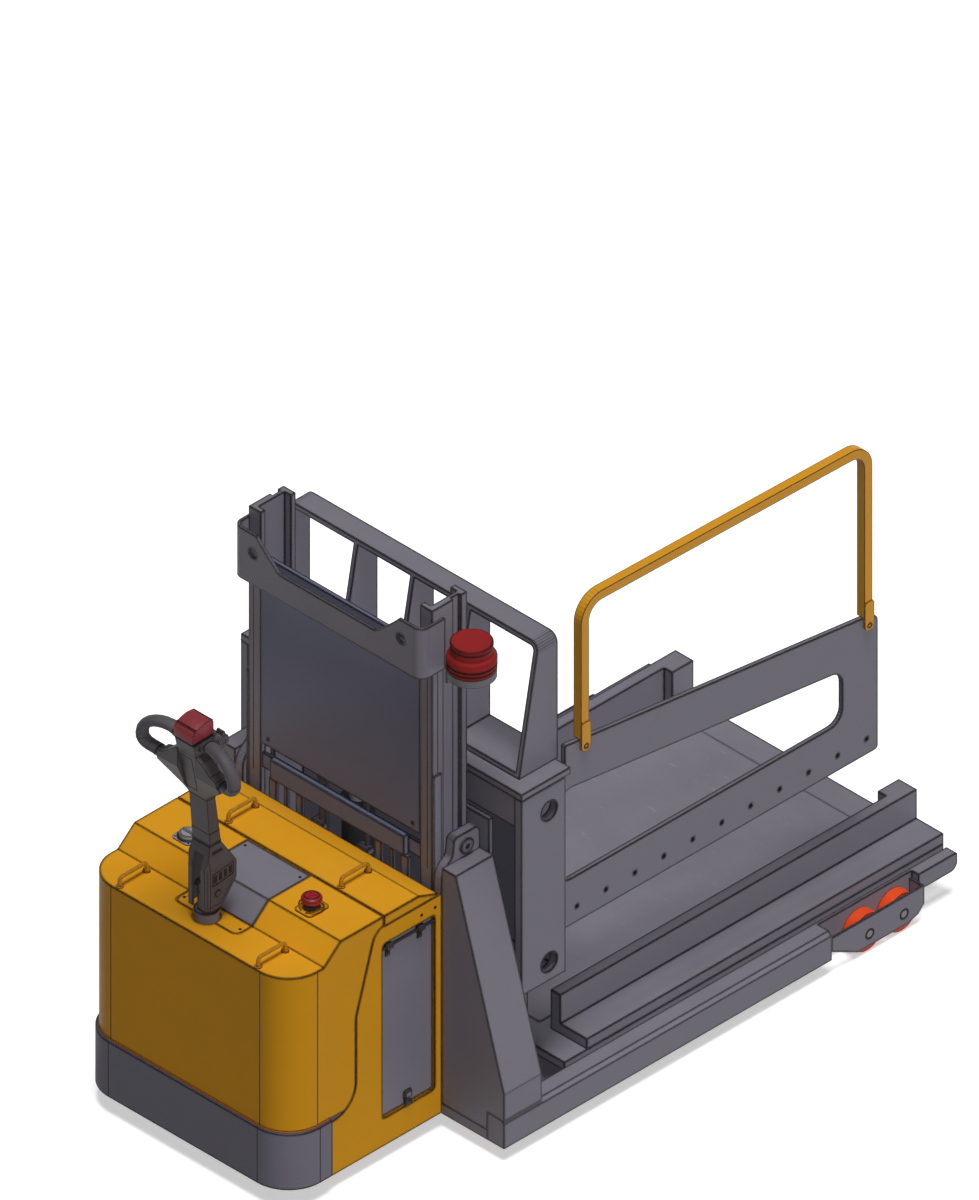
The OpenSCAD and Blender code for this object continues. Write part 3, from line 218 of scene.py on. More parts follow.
def place_group(tree, name, **values):
    made = tree.nodes.new("ShaderNodeGroup")
    made.node_tree = GROUPS[name]
    for key, value in values.items():
        made.inputs[key].default_value = value
    return made


def mix_colour(tree, factor, a, b):
    made = tree.nodes.new("ShaderNodeMix")
    made.data_type = "RGBA"
    for slot, value in ((made.inputs["Factor"], factor), (made.inputs["A"], a), (made.inputs["B"], b)):
        if isinstance(value, (int, float)):
            slot.default_value = value
        elif isinstance(value, (tuple, list)):
            slot.default_value = (*value, 1.0)
        else:
            tree.links.new(value, slot)
    return made.outputs["Result"]


def linear(r, g, b):
    """Colour written as 0-255 screen values."""
    return tuple((v / 255 / 12.92) if v <= 10 else ((v / 255 + 0.055) / 1.055) ** 2.4 for v in (r, g, b))


LINE = linear(26, 18, 18)
DUST = linear(150, 145, 138)
MATERIALS = {}


def finish(name, colour, rough=0.5, metallic=0.0, line=1.0, width=0.003, dust=0.02, scuff=0.0, grain=0.15,
           grain_scale=600.0, tone=0.08, speck=0.0, speck_colour=None, specular=0.25):
    """One painted, moulded or metal finish: tone, speck, dust, scuffs, dark edge lines."""
    mat = bpy.data.materials.new(name)
    mat.use_nodes = True
    tree = mat.node_tree
    shader = tree.nodes["Principled BSDF"]
    shader.inputs["Metallic"].default_value = metallic
    shader.inputs["Specular IOR Level"].default_value = specular
    grained = place_group(tree, "surface grain", Scale=grain_scale)
    edge = place_group(tree, "edge line", Width=width)
    dark = tuple(c * (1 - tone) for c in colour)
    light = tuple(min(1.0, c * (1 + tone)) for c in colour)
    base = mix_colour(tree, grained.outputs["Tone"], dark, light)
    if speck:
        base = mix_colour(tree, math_node(tree, "MULTIPLY", grained.outputs["Speck"], speck), base,
                          speck_colour or tuple(min(1.0, c * 1.9 + 0.02) for c in colour))
    rough_out = math_node(tree, "ADD", rough - 0.06,
                          math_node(tree, "MULTIPLY", grained.outputs["Tone"], 0.12))
    if scuff:
        marks = place_group(tree, "scuffs", Density=scuff)
        base = mix_colour(tree, marks.outputs[0], base, tuple(min(1.0, c * 1.6 + 0.05) for c in colour))
    if dust:
        dusty = place_group(tree, "floor dust", Amount=dust)
        base = mix_colour(tree, dusty.outputs[0], base, DUST)
        rough_out = math_node(tree, "ADD", rough_out,
                              math_node(tree, "MULTIPLY", dusty.outputs[0], 0.4), clamp=True)
    if line:
        base = mix_colour(tree, math_node(tree, "MULTIPLY", edge.outputs["Line"], line), base, LINE)
    bump = tree.nodes.new("ShaderNodeBump")
    bump.inputs["Strength"].default_value = grain
    bump.inputs["Distance"].default_value = 0.0004
    tree.links.new(grained.outputs["Height"], bump.inputs["Height"])
    tree.links.new(edge.outputs["Rounded"], bump.inputs["Normal"])
    tree.links.new(bump.outputs[0], shader.inputs["Normal"])
    tree.links.new(base, shader.inputs["Base Color"])
    tree.links.new(rough_out, shader.inputs["Roughness"])
    MATERIALS[name] = mat
    return mat


def lens_finish(name, colour):
    """Moulded red lens: deep colour, glossy, a little see-through glow."""
    mat = finish(name, colour, rough=0.55, width=0.007, dust=0.0, grain=0.04, tone=0.05, speck=0.5,
                 speck_colour=linear(206, 92, 44), specular=0.12)
    shader = mat.node_tree.nodes["Principled BSDF"]
    shader.inputs["Subsurface Weight"].default_value = 0.15
    shader.inputs["Subsurface Radius"].default_value = (0.02, 0.004, 0.003)
    return mat


NODE_FINISH = {
    "steel paint": ["base_frame", "leg_right", "leg_left", "gusset_right", "gusset_left", "mast_lugs",
                    "carriage_frame", "load_box", "mast_upright_right", "mast_upright_left",
                    "mast_top_bracket", "wheel_brackets", "top_panel", "load_column_right",
                    "load_column_left", "cap_plate", "backrest", "guide_rails", "side_arm",
                    "side_door_right", "side_door_left"],
    "floor plate": ["platform"],
    "bumper paint": ["bumper"],
    "dark paint": ["chassis_frame", "pump_unit", "steer_column", "drive_turret"],
    # The shield and cross bar share a copy of the grey paint that is bluer than the frame paint. The extra
    # blue is a painted cool cast that cancels the warm light bounced onto them from the cover.
    "shield paint tinted against bounce light": ["mast_shield", "mast_cross_bar"],
    "cover paint": ["front_cover", "tiller_plate", "side_frames", "rear_lid", "stop_base"],
    "bar paint": ["lid_handles", "front_handles", "guard_rail"],
    "tiller plastic": ["tiller_housing", "tiller_arm", "tiller_head"],
    "grip rubber": ["tiller_grips", "throttle_wings"],
    "battery case": ["battery", "lift_cylinder"],
    "tread rubber": ["drive_wheel"],
    "red cap": ["safety_button"],
    "red knob": ["stop_knob"],
    "lens": ["beacon_lens"],
    "beacon plastic": ["beacon_base"],
    "polyurethane": ["load_wheel_right_near", "load_wheel_right_far", "load_wheel_left_near",
                     "load_wheel_left_far"],
    "bright steel": ["upper_rollers", "lower_rollers", "lift_ram", "switch_knob", "switch_base"],
    "pin steel": ["mast_pins", "load_axles"],
}


def make_finishes(look):
    GROUPS["edge line"] = edge_line_group()
    GROUPS["surface grain"] = grain_group()
    GROUPS["floor dust"] = dust_group()
    GROUPS["scuffs"] = scuff_group()
    steel = tuple(look.steel)
    cover = tuple(look.cover)
    width = look.line_width
    finish("steel paint", steel, dust=0.08, scuff=0.14, tone=0.05, width=width)
    finish("bumper paint", steel, rough=0.62, scuff=0.2, specular=0.12, tone=0.05, width=width, grain=0.3)
    finish("floor plate", steel, dust=0.12, scuff=0.5, tone=0.07, width=width)
    finish("dark paint", tuple(c * 0.72 for c in steel), dust=0.08, scuff=0.1, tone=0.06, width=width)
    finish("cover paint", cover, rough=0.42, scuff=0.04, tone=0.035, width=width, specular=0.05, grain=0.08)
    # Grey paint with a painted cool cast: bluer than the frame paint to cancel the warm light bounced from
    # the cover
    finish("shield paint tinted against bounce light", linear(107, 111, 134), dust=0.04, scuff=0.06, tone=0.04, width=width,
           specular=0.15)
    finish("bar paint", cover, rough=0.42, scuff=0.04, tone=0.035, width=0.0045)
    finish("tiller plastic", linear(74, 69, 71), dust=0.03, width=0.0045, grain=0.3, grain_scale=1100.0)
    finish("grip rubber", linear(84, 80, 86), rough=0.6, dust=0.03, width=0.004, grain=0.45,
           grain_scale=1500.0)
    finish("black plastic", linear(44, 43, 46), rough=0.45, dust=0.03, tone=0.1, width=0.0018, grain=0.2)
    finish("battery case", linear(52, 52, 56), rough=0.6, dust=0.2, tone=0.1)
    finish("tread rubber", linear(40, 40, 42), rough=0.8, dust=0.12, tone=0.15, grain=0.5)
    finish("red cap", linear(134, 50, 57), rough=0.45, tone=0.06, width=0.0042, grain=0.2,
           grain_scale=1100.0, speck=0.3)
    finish("red knob", linear(154, 35, 39), rough=0.35, dust=0.01, tone=0.05, width=0.004)
    lens_finish("lens", linear(140, 33, 36))
    finish("beacon plastic", linear(108, 105, 113), dust=0.04, tone=0.06)
    finish("polyurethane", linear(224, 74, 28), rough=0.42, width=0.0045, scuff=0.08, grain=0.2)
    finish("bright steel", linear(186, 186, 192), rough=0.34, metallic=0.5, width=0.0035)
    finish("pin steel", linear(128, 126, 134), rough=0.42, metallic=0.2, dust=0.04, width=0.004)
    finish("seam", linear(34, 24, 22), rough=0.7, dust=0.0, tone=0.05, line=0.0, width=0.001)
    finish("bead", linear(158, 86, 34), rough=0.6, dust=0.0, line=0.3, width=0.001)
    finish("screw steel", linear(66, 64, 70), rough=0.4, metallic=0.4, dust=0.0, tone=0.1, width=0.0014)
    finish("grille dark", linear(34, 33, 36), rough=0.7, tone=0.1, line=0.3, width=0.001)
    finish("hub", linear(84, 62, 60), dust=0.05, tone=0.1, width=0.002)
    finish("pipe", linear(70, 68, 72), rough=0.55, dust=0.05, tone=0.1, width=0.001, grain=0.3)
    finish("inner steel", steel, dust=0.05, tone=0.1, width=width)


# ---------------------------------------------------------------- mesh helpers

def box_mesh(bm, low, high, bevel=0.0, segments=2):
    """A box between two opposite corners, given in the part's frame, with bevelled edges."""
    low, high = (Vector([pick(*pair) for pair in zip(low, high)]) for pick in (min, max))
    made = bmesh.ops.create_cube(bm, size=1.0, matrix=Matrix.Translation((low + high) / 2)
                                 @ Matrix.Diagonal((*(high - low), 1.0)))
    if bevel:
        edges = list({e for v in made["verts"] for e in v.link_edges})
        bmesh.ops.bevel(bm, geom=edges, offset=bevel, segments=segments, affect="EDGES", profile=0.5,
                        material=-1, clamp_overlap=True)


def extruded(bm, outline, way):
    """A solid plate: an outline of points, carried along a vector in metres."""
    face = bm.faces.new([bm.verts.new(p) for p in outline])
    grown = bmesh.ops.extrude_face_region(bm, geom=[face])
    bmesh.ops.translate(bm, vec=way, verts=new_verts(grown))


def turned(bm, centre, axis, profile, steps=40, closed=False):
    """A lathe piece: (radius, height) pairs in millimetres spun about an axis."""
    turn = Vector((0, 0, 1)).rotation_difference(Vector(axis)).to_matrix()
    verts = [bm.verts.new(centre + turn @ Vector((r * MM, 0, h * MM))) for r, h in profile]
    pairs = list(zip(verts, verts[1:])) + ([(verts[-1], verts[0])] if closed else [])
    edges = [bm.edges.new(pair) for pair in pairs]
    bmesh.ops.spin(bm, geom=verts + edges, cent=centre, axis=Vector(axis), angle=2 * math.pi, steps=steps,
                   use_merge=True)
    bmesh.ops.remove_doubles(bm, verts=list(bm.verts), dist=1e-6)


def screw(bm, centre, axis, radius, height):
    """A low socket screw with a sunk hexagon."""
    turned(bm, centre, axis, [(0, height * 0.35), (radius * 0.5, height * 0.35), (radius * 0.55, height),
                              (radius * 0.85, height), (radius, height * 0.7), (radius, -0.3), (0, -0.3)], 18)


def new_verts(grown):
    return [g for g in grown["geom"] if isinstance(g, bmesh.types.BMVert)]


def ribbon(bm, path, width, height, up, closed=False):
    """A flat raised strip with mitred corners: an edge extruded along points, then thickened."""
    up = Vector(up)
    count = len(path)
    rows = []
    for i, spot in enumerate(path):
        before = path[i - 1] if closed or i else spot
        after = path[(i + 1) % count] if closed or i < count - 1 else spot
        ways = [w.normalized() for w in (spot - before, after - spot) if w.length > 1e-9]
        side = up.cross((ways[0] + ways[-1]).normalized()).normalized()
        reach = width * MM / 2 / max(0.3, side.dot(up.cross(ways[0])))
        rows.append((spot + side * reach, spot - side * reach))
    ends = [bm.verts.new(p) for p in rows[0]]
    edge = bm.edges.new(ends)
    faces = []
    for row in rows[1:] + ([rows[0]] if closed else []):
        grown = bmesh.ops.extrude_edge_only(bm, edges=[edge])
        fresh = sorted(new_verts(grown), key=lambda v: (v.co - ends[0].co).length)
        for vert, spot in zip(fresh, row):
            vert.co = spot
        ends = fresh
        edge = next(g for g in grown["geom"] if isinstance(g, bmesh.types.BMEdge)
                    and set(g.verts) == set(fresh))
        faces += [g for g in grown["geom"] if isinstance(g, bmesh.types.BMFace)]
    grown = bmesh.ops.extrude_face_region(bm, geom=faces)
    bmesh.ops.translate(bm, vec=up * height * MM, verts=new_verts(grown))
    bmesh.ops.remove_doubles(bm, verts=list(bm.verts), dist=1e-6)


def rod(bm, path, radius, segments=12):
    """A round bar or pipe: a circle extruded along points, with its ends closed."""
    way = (path[1] - path[0]).normalized()
    turn = Vector((0, 0, 1)).rotation_difference(way).to_matrix().to_4x4()
    ring = bmesh.ops.create_circle(bm, segments=segments, radius=radius * MM,
                                   matrix=Matrix.Translation(path[0]) @ turn)["verts"]
    edges = list({e for v in ring for e in v.link_edges})
    ends = list(edges)
    for i, spot in enumerate(path[1:], 1):
        grown = bmesh.ops.extrude_edge_only(bm, edges=edges)
        fresh = new_verts(grown)
        new_way = (path[min(i + 1, len(path) - 1)] - path[i - 1]).normalized()
        turn = way.rotation_difference(new_way).to_matrix()
        bmesh.ops.rotate(bm, cent=path[i - 1], matrix=turn, verts=fresh)
        bmesh.ops.translate(bm, vec=spot - path[i - 1], verts=fresh)
        way = new_way
        mine = set(fresh)
        edges = [g for g in grown["geom"] if isinstance(g, bmesh.types.BMEdge) and set(g.verts) <= mine]
    bmesh.ops.holes_fill(bm, edges=ends + edges, sides=segments)


def oval_rod(bm, path, radius, oval, segments=20):
    """A bar of oval section: a round bar stretched along Y about each point of its path."""
    first = len(bm.verts)
    rod(bm, path, radius, segments)
    bm.verts.ensure_lookup_table()
    for i, spot in enumerate(path):
        ring = bm.verts[first + i * segments:first + (i + 1) * segments]
        bmesh.ops.scale(bm, vec=(1, oval, 1), space=Matrix.Translation(-spot), verts=ring)


def smooth_path(points, steps=6, share=0.35):
    """Rounds the corners of a path with short curves."""
    made = [points[0]]
    for before, spot, after in zip(points, points[1:], points[2:]):
        reach = share * min((spot - before).length, (after - spot).length)
        a = spot + (before - spot).normalized() * reach
        b = spot + (after - spot).normalized() * reach
        made += [a.lerp(spot, t).lerp(spot.lerp(b, t), t) for t in (k / steps for k in range(steps + 1))]
    return made + [points[-1]]


def bent(a, b, c, d, start, end, steps=8):
    """Points along a cubic curve between two shares of its length."""
    ts = [start + (end - start) * k / steps for k in range(steps + 1)]
    return [a.lerp(b, t).lerp(b.lerp(c, t), t).lerp(b.lerp(c, t).lerp(c.lerp(d, t), t), t) for t in ts]


def weld_steps(start, length, step):
    """Places along a weld bead, from its start."""
    return [start + k for k in range(0, length, step)]


def plan_front(inset, z, end=155.0, steps=12):
    """The rounded outline of the power unit's front, seen from above."""
    corner = CORNER_R - inset
    made = [at(HALF_W - inset, end, z)]
    for sign, start in ((1, 0.0), (-1, 90.0)):
        for k in range(steps + 1):
            angle = math.radians(start + 90 / steps * k)
            made.append(at(sign * (HALF_W - CORNER_R) + corner * math.cos(angle),
                           CORNER_R - corner * math.sin(angle), z))
    return made + [at(inset - HALF_W, end, z)]


def piece(name, build, body, finish_name, smooth=True):
    """Runs build(bm) into a new object that rides on a body."""
    bm = bmesh.new()
    build(bm)
    bmesh.ops.recalc_face_normals(bm, faces=bm.faces)
    name = name.replace(" ", "_")
    mesh = bpy.data.meshes.new(name)
    bm.to_mesh(mesh)
    bm.free()
    made = bpy.data.objects.new(name, mesh)
    bpy.context.scene.collection.objects.link(made)
    mesh.materials.append(MATERIALS[finish_name])
    if smooth:
        mesh.shade_smooth()
        mesh.set_sharp_from_angle(angle=math.radians(35))
    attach(made, body)
    return made


# ---------------------------------------------------------------- settings

class RackMoverLook(PropertyGroup):
    """Colours and line width of the finishes."""
    steel: FloatVectorProperty(name="Frame paint", description="Colour of the painted steel", subtype="COLOR",
                               size=3, min=0, max=1, default=linear(118, 115, 126))
    cover: FloatVectorProperty(name="Cover paint", description="Colour of the covers and handles",
                               subtype="COLOR", size=3, min=0, max=1, default=linear(212, 149, 31))
    line_width: FloatProperty(name="Edge line", description="Width of the dark line along each edge",
                              subtype="DISTANCE", unit="LENGTH", min=0.0005, max=0.02, default=0.0098)


class RackMoverTrim(PropertyGroup):
    """Sizes of the small fittings."""
    screw: FloatProperty(name="Screw radius", description="Radius of the cover screws in millimetres",
                         min=2, max=10, default=4.5)
    pipe: FloatProperty(name="Pipe radius", description="Radius of the mast pipes in millimetres",
                        min=3, max=12, default=7.0)


class RackMoverStage(PropertyGroup):
    """Light and floor."""
    key: FloatProperty(name="Key light", description="Strength of the sun", min=0, max=10, default=2.42)
    fill: FloatProperty(name="Fill light", description="Strength of the sky", min=0, max=2, default=0.075)
    front: FloatProperty(name="Front light", description="Strength of the shadowless light from the camera",
                         min=0, max=5, default=0.5)
    side: FloatProperty(name="Side light", description="Strength of the shadowless light on the right side",
                        min=0, max=5, default=1.0)
    back: FloatProperty(name="Back light", description="Strength of the shadowless light from behind",
                        min=0, max=5, default=1.1)
    floor: FloatProperty(name="Floor size", description="Side of the floor", unit="LENGTH", min=5, max=100,
                         default=40.0)


# ---------------------------------------------------------------- operators

class DressSolids(Operator):
    """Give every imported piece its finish"""
    bl_idname = "rackmover.dress_solids"
    bl_label = "Finishes"

    def execute(self, context):
        make_finishes(context.scene.rack_mover_look)
        for name, nodes in NODE_FINISH.items():
            for part in nodes:
                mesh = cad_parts[part].data
                mesh.materials.clear()
                mesh.materials.append(MATERIALS[name])
        return {"FINISHED"}


class CoverFittings(Operator):
    """Screws, seams and the bead around the covers"""
    bl_idname = "rackmover.cover_fittings"
    bl_label = "Cover fittings"

    def execute(self, context):
        radius = context.scene.rack_mover_trim.screw
        screw_h, seam_w, seam_h = 1.6, 3.2, 0.3

        def screws(bm):
            for x, y, z in ((-108, 104, DECK_Z), (108, 104, DECK_Z), (-106, 338, HOOD_Z), (106, 338, HOOD_Z)):
                screw(bm, at(x, y, z), (0, 0, 1), radius, screw_h)
            for s in (-1, 1):
                for y in (514, 566):
                    screw(bm, at(s * HALF_W, y, 749), (s, 0, 0), radius * 1.1, screw_h)
        piece("cover screws", screws, "chassis", "seam")

        def seams(bm):
            for s in (-1, 1):
                for low, high, out in ((BUMPER_TOP + 2, DECK_Z - 3, 0), (60, BUMPER_TOP - 2, BUMPER_OUT)):
                    for x, y, up in ((HALF_W - CORNER_R, -out, (0, -1, 0)),
                                     (HALF_W + out, CORNER_R, (s, 0, 0))):
                        ribbon(bm, [at(s * x, y, low), at(s * x, y, high)], seam_w, seam_h, up)
        piece("panel seams", seams, "chassis", "seam", False)
        piece("front bead", lambda bm: rod(bm, plan_front(-0.4, BUMPER_TOP + 1.5), 1.9, 8), "chassis", "bead")
        return {"FINISHED"}


class DoorFittings(Operator):
    """Hinge clips, latch, sill, lip and rod covers of each side door"""
    bl_idname = "rackmover.door_fittings"
    bl_label = "Door fittings"

    def execute(self, context):
        rod_x, rod_z = DOOR_ROD
        sleeves, sleeve_half = (389, 512), 12
        lip_w, corner = 3, 13.5

        for s, body in ((1, "door_right"), (-1, "door_left")):
            side = body[5:]

            def clips(bm):
                for y in sleeves:
                    turned(bm, at(s * rod_x, y - sleeve_half, rod_z), (0, 1, 0),
                           [(8.4, 0), (10.6, 0), (10.6, 2 * sleeve_half), (8.4, 2 * sleeve_half)], 20, True)
                    ribbon(bm, [at(s * DOOR_X, y, rod_z - drop) for drop in (8, 33)], 17, 4, (s, 0, 0))
                    turned(bm, at(s * (DOOR_X + 4), y, rod_z - 23), (s, 0, 0),
                           [(0, 0), (6, 0), (6, 1.5), (4.5, 3), (0, 3)], 16)
            piece("door clips " + side, clips, body, "black plastic")

            def latch(bm):
                # A stem through the door, a six-sided knob in front of the side frame, and its boss
                for x, steps, profile in (
                        (DOOR_X - 1.5, 18, [(0, 0), (8, 0), (8, 11), (0, 11)]),
                        (HALF_W + 0.5, 6, [(0, 0), (13, 0), (14, 2), (14, 4), (11, 6), (0, 6)]),
                        (HALF_W + 6, 18, [(0, 2), (4, 2), (6, 1), (6, 0), (0, 0)])):
                    turned(bm, at(s * x, *DOOR_LATCH), (s, 0, 0), profile, steps)
            piece("door latch " + side, latch, body, "black plastic")

            def sill(bm):
                box_mesh(bm, at(s * 380.5, DOOR_Y[0] - 3, 126), at(s * rod_x, DOOR_Y[1] + 4, 131), 0.001, 1)
                # Jambs behind the door, which end below the rod, where the door's top swings inwards
                low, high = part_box("side_" + body)
                inner = s * (min(abs(low[0]), abs(high[0])) - 2 * MM)
                for y in (low[1], high[1]):
                    box_mesh(bm, (inner, y - 12 * MM, low[2] - 10 * MM),
                             (inner - s * 6 * MM, y + 12 * MM, high[2] - 45 * MM), 0.001, 1)
            piece("door sill " + side, sill, "chassis", "inner steel")

            def lip(bm):
                front, back = DOOR_Y[0] - 4.5 + corner, DOOR_Y[1] + 4.5 - corner
                foot, head = DOOR_LOW - 3.5 + corner, DOOR_TOP + 3.5 - corner
                loop = []
                for y, z, start in ((back, foot, 270), (back, head, 0), (front, head, 90),
                                    (front, foot, 180)):
                    for k in range(6):
                        angle = math.radians(start + 18 * k)
                        loop.append(at(s * 385.5, y + corner * math.cos(angle), z + corner * math.sin(angle)))
                ribbon(bm, loop, lip_w, 10.5, (s, 0, 0), True)
            piece("door lip " + side, lip, "chassis", "cover paint")

            def cover(bm):
                for low, high in ((364, 376), (402, 499), (525, 566)):
                    turned(bm, at(s * rod_x, low, rod_z), (0, 1, 0),
                           [(4.05, 0), (5, 0.5), (5, high - low - 0.5), (4.05, high - low)], 20, True)
            piece("door rod cover " + side, cover, "chassis", "black plastic")
        return {"FINISHED"}


class ControlFittings(Operator):
    """Collar, guard and marks of the emergency stop, bezel of the key switch, feet of the bail handles"""
    bl_idname = "rackmover.control_fittings"
    bl_label = "Control fittings"

    def execute(self, context):
        x, y = STOP

        def collar(bm):
            turned(bm, at(x, y, HOOD_Z + 3), (0, 0, 1), [(19.3, 0), (24, 0), (24, 9), (22, 13), (19.3, 13)],
                   32, True)
        piece("stop collar", collar, "chassis", "black plastic")

        def guard(bm):
            for s in (-1, 1):
                path = [at(x + s * out, y + along, z) for out, along, z in
                        ((8, -33, 820), (30, -22, 829), (37, 0, 832), (30, 22, 829), (8, 33, 820))]
                rod(bm, smooth_path(path), 2.6, 8)
        piece("stop guard", guard, "chassis", "cover paint")

        def marks(bm):
            top = 861
            turned(bm, at(x, y, top), (0, 0, 1), [(18, -0.4), (18, 1.4), (21, 1.4), (21, -0.4)], 40, True)
            for k in range(3):
                angle = 2 * math.pi * k / 3
                path = [at(x + r * math.cos(angle + t), y + r * math.sin(angle + t), top)
                        for r, t in ((5, 0), (9, 0.35), (13, 0.8))]
                ribbon(bm, path, 2.5, 0.8, (0, 0, 1))
        piece("stop marks", marks, "stop_knob", "red cap")

        def bezel(bm):
            x, y = SWITCH
            turned(bm, at(x, y, HOOD_Z), (0, 0, 1), [(27.4, 3), (33, 3), (33, 6), (30, 9), (27.4, 9)], 36,
                   True)
            reach = 29 * math.sqrt(2) * 0.9
            for k in range(4):
                angle = math.pi * (0.25 + 0.5 * k)
                spot = at(x + reach * math.cos(angle), y + reach * math.sin(angle), HOOD_Z + 3)
                screw(bm, spot, (0, 0, 1), 3, 1.2)
        piece("switch bezel", bezel, "chassis", "black plastic")

        for end, body, foot in (("front", "chassis", (268, 118, DECK_Z)),
                                ("rear", "lid", (218, 489, HOOD_Z))):
            def feet(bm):
                for s in (-1, 1):
                    turned(bm, at(s * foot[0], *foot[1:]), (0, 0, 1),
                           [(6.4, 3), (14, 3), (13, 6), (6.4, 6)], 4, True)
            piece("handle feet " + end, feet, body, "bar paint")
        return {"FINISHED"}


class TillerFittings(Operator):
    """Grille, rims, joint rings, cap, throttle covers and grips of the tiller"""
    bl_idname = "rackmover.tiller_fittings"
    bl_label = "Tiller fittings"

    def execute(self, context):
        def grille(bm):
            for s in (-1, 1):
                for k in range(4):
                    y, z = 74 + 19 * k, 897 + 2.4 * k
                    box_mesh(bm, at(s * (TILLER_X - 0.4), y - 6, z), at(s * (TILLER_X + 1), y + 6, z + 25),
                             0.0008, 1)
        piece("tiller grille", grille, "tiller", "grille dark", False)

        def rims(bm):
            for s in (-1, 1):
                window = ((64, 889), (142, 899), (142, 938), (64, 928))
                ribbon(bm, [at(s * TILLER_X, y, z) for y, z in window], 2.4, 1.3, (s, 0, 0), True)
                turned(bm, at(s * TILLER_X, 82, 860), (s, 0, 0), [(0, 2.4), (9, 2.4), (12, 0), (0, 0)], 28)
                skirt = ((48, 822), (96, 822), (142, 882))
                ribbon(bm, [at(s * TILLER_X, y, z) for y, z in skirt], 2.0, 0.8, (s, 0, 0))
        piece("tiller rims", rims, "tiller", "tiller plastic")

        def rings(bm):
            # The arm leans and narrows from its foot to its head
            foot, length, half = 1018, 164, 34
            for z, grow in ((1022, 1.4), (1060, 1.0), (1178, 1.4)):
                t = (z - foot) / length
                front, back = TILLER_X + 19 - 13 * t, TILLER_X + 61 - 23 * t
                centre = at(0, (front + back) / 2, z)
                corners = ((-half, front), (half, front), (half, back), (-half, back))
                points = [at(x, y, z) for x, y in corners]
                extruded(bm, [p + (p - centre).normalized() * grow * MM for p in points], (0, 0, 3 * MM))
        piece("tiller joints", rings, "tiller", "seam", False)

        def panel(bm):
            path = [at(*spot) for spot in ((-24, 26, 1225), (24, 26, 1225), (24, 5, 1338), (-24, 5, 1338))]
            up = (path[1] - path[0]).cross(path[2] - path[1]).normalized()
            up = up if up.y < 0 else -up
            ribbon(bm, [p + up * 0.004 for p in path], 2.2, 1.0, up, True)
        piece("head panel", panel, "tiller", "seam", False)

        cap_half = 38.2

        def cap(bm):
            profile = ((-9, 1396), (-9, 1423), (-2, 1433), (16, 1443), (42, 1449), (64, 1447), (73, 1438),
                       (73, 1400))
            extruded(bm, [at(-cap_half, y, z) for y, z in profile], (2 * cap_half * MM, 0, 0))
            rims = [e for e in bm.edges if abs(e.verts[0].co.x - e.verts[1].co.x) < 1e-6]
            bmesh.ops.bevel(bm, geom=rims, offset=0.003, segments=2, affect="EDGES", profile=0.5, material=-1,
                            clamp_overlap=True)
        piece("cap shell", cap, "safety_button", "red cap")

        def ridges(bm):
            for y, z in ((1, 1436), (5, 1438.5), (69, 1444)):
                rod(bm, [at(s * (cap_half - 0.7), y, z) for s in (-1, 1)], 1.6, 8)
        piece("cap ridges", ridges, "safety_button", "red cap")

        def wings(bm):
            for s in (-1, 1):
                turned(bm, at(s * 39.5, 86, 1376), (s, 0, 0),
                       [(6.2, 0), (19, 0), (22, 3), (22, 21), (18, 25), (6.2, 25)], 32, True)
        piece("throttle covers", wings, "throttle", "grip rubber")

        grip_r, oval = 15.5, 1.3

        def grip(s, low, high):
            """Points along a grip: 0 is at the head, 1 at the outer bend and 2 at the horn."""
            bend = at(s * 177.5, 11, 1330)
            upper = at(s * 45, 34, 1372), at(s * 85, 30, 1405), at(s * 171.5, 6, 1390), bend
            lower = bend, at(s * 181.5, 12, 1290), at(s * 148.7, 24.3, 1290.8), at(s * 124.7, 27, 1284.1)
            path = bent(*upper, low, min(high, 1)) if low < 1 else []
            if high > 1:
                path += bent(*lower, max(low - 1, 0), high - 1)[1 if path else 0:]
            return path

        def collars(bm):
            for s in (-1, 1):
                oval_rod(bm, grip(s, 0, 0.13), grip_r + 2.1, oval)
        piece("grip collars", collars, "tiller", "tiller plastic")

        def sleeves(bm):
            for s in (-1, 1):
                oval_rod(bm, grip(s, 0.14, 1.96), grip_r + 0.8, oval)
            caps = [f for f in bm.faces if len(f.verts) > 4]
            bmesh.ops.bevel(bm, geom=list({e for f in caps for e in f.edges}), offset=0.002, segments=2,
                            affect="EDGES", profile=0.5, material=-1, clamp_overlap=True)
        piece("grip sleeves", sleeves, "tiller", "grip rubber")

        def joints(bm):
            for s in (-1, 1):
                for share, proud in ((0.135, 1.5), (1.13, 1.1), (1.62, 1.1), (1.97, 1.5)):
                    oval_rod(bm, grip(s, share - 0.008, share + 0.008), grip_r + proud, oval)
        piece("grip joints", joints, "tiller", "seam", False)
        return {"FINISHED"}


class BeaconFittings(Operator):
    """Tiered lens of the beacon, and its gland"""
    bl_idname = "rackmover.beacon_fittings"
    bl_label = "Beacon fittings"

    def execute(self, context):
        x, y, foot = 438, 670, 1521

        def shell(bm):
            turned(bm, at(x, y, foot), (0, 0, 1),
                   [(0, 89), (57.5, 89), (60.5, 86.5), (60.5, 77), (58.5, 75.5), (58.5, 74), (59.5, 72.5),
                    (58, 57), (60, 53), (68, 46), (71, 41), (71, 27), (69, 25.5), (69, 24), (71, 22.5),
                    (71, 14), (69, 12.5), (69, 11), (70.5, 9.5), (70.5, 0), (0, 0)], 72)
        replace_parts(piece("beacon shell", shell, "chassis", "lens"), "beacon_lens")

        def gland(bm):
            turned(bm, at(x, y, foot - 24), (0, 0, -1), [(7.3, 0), (14, 0), (14, 5), (10, 9), (7.3, 9)], 6,
                   True)
            turned(bm, at(x, y, foot - 48), (0, 0, -1), [(0, 0), (5.5, 0), (4.2, 10), (0, 10)], 20)
        piece("beacon gland", gland, "chassis", "black plastic")
        return {"FINISHED"}


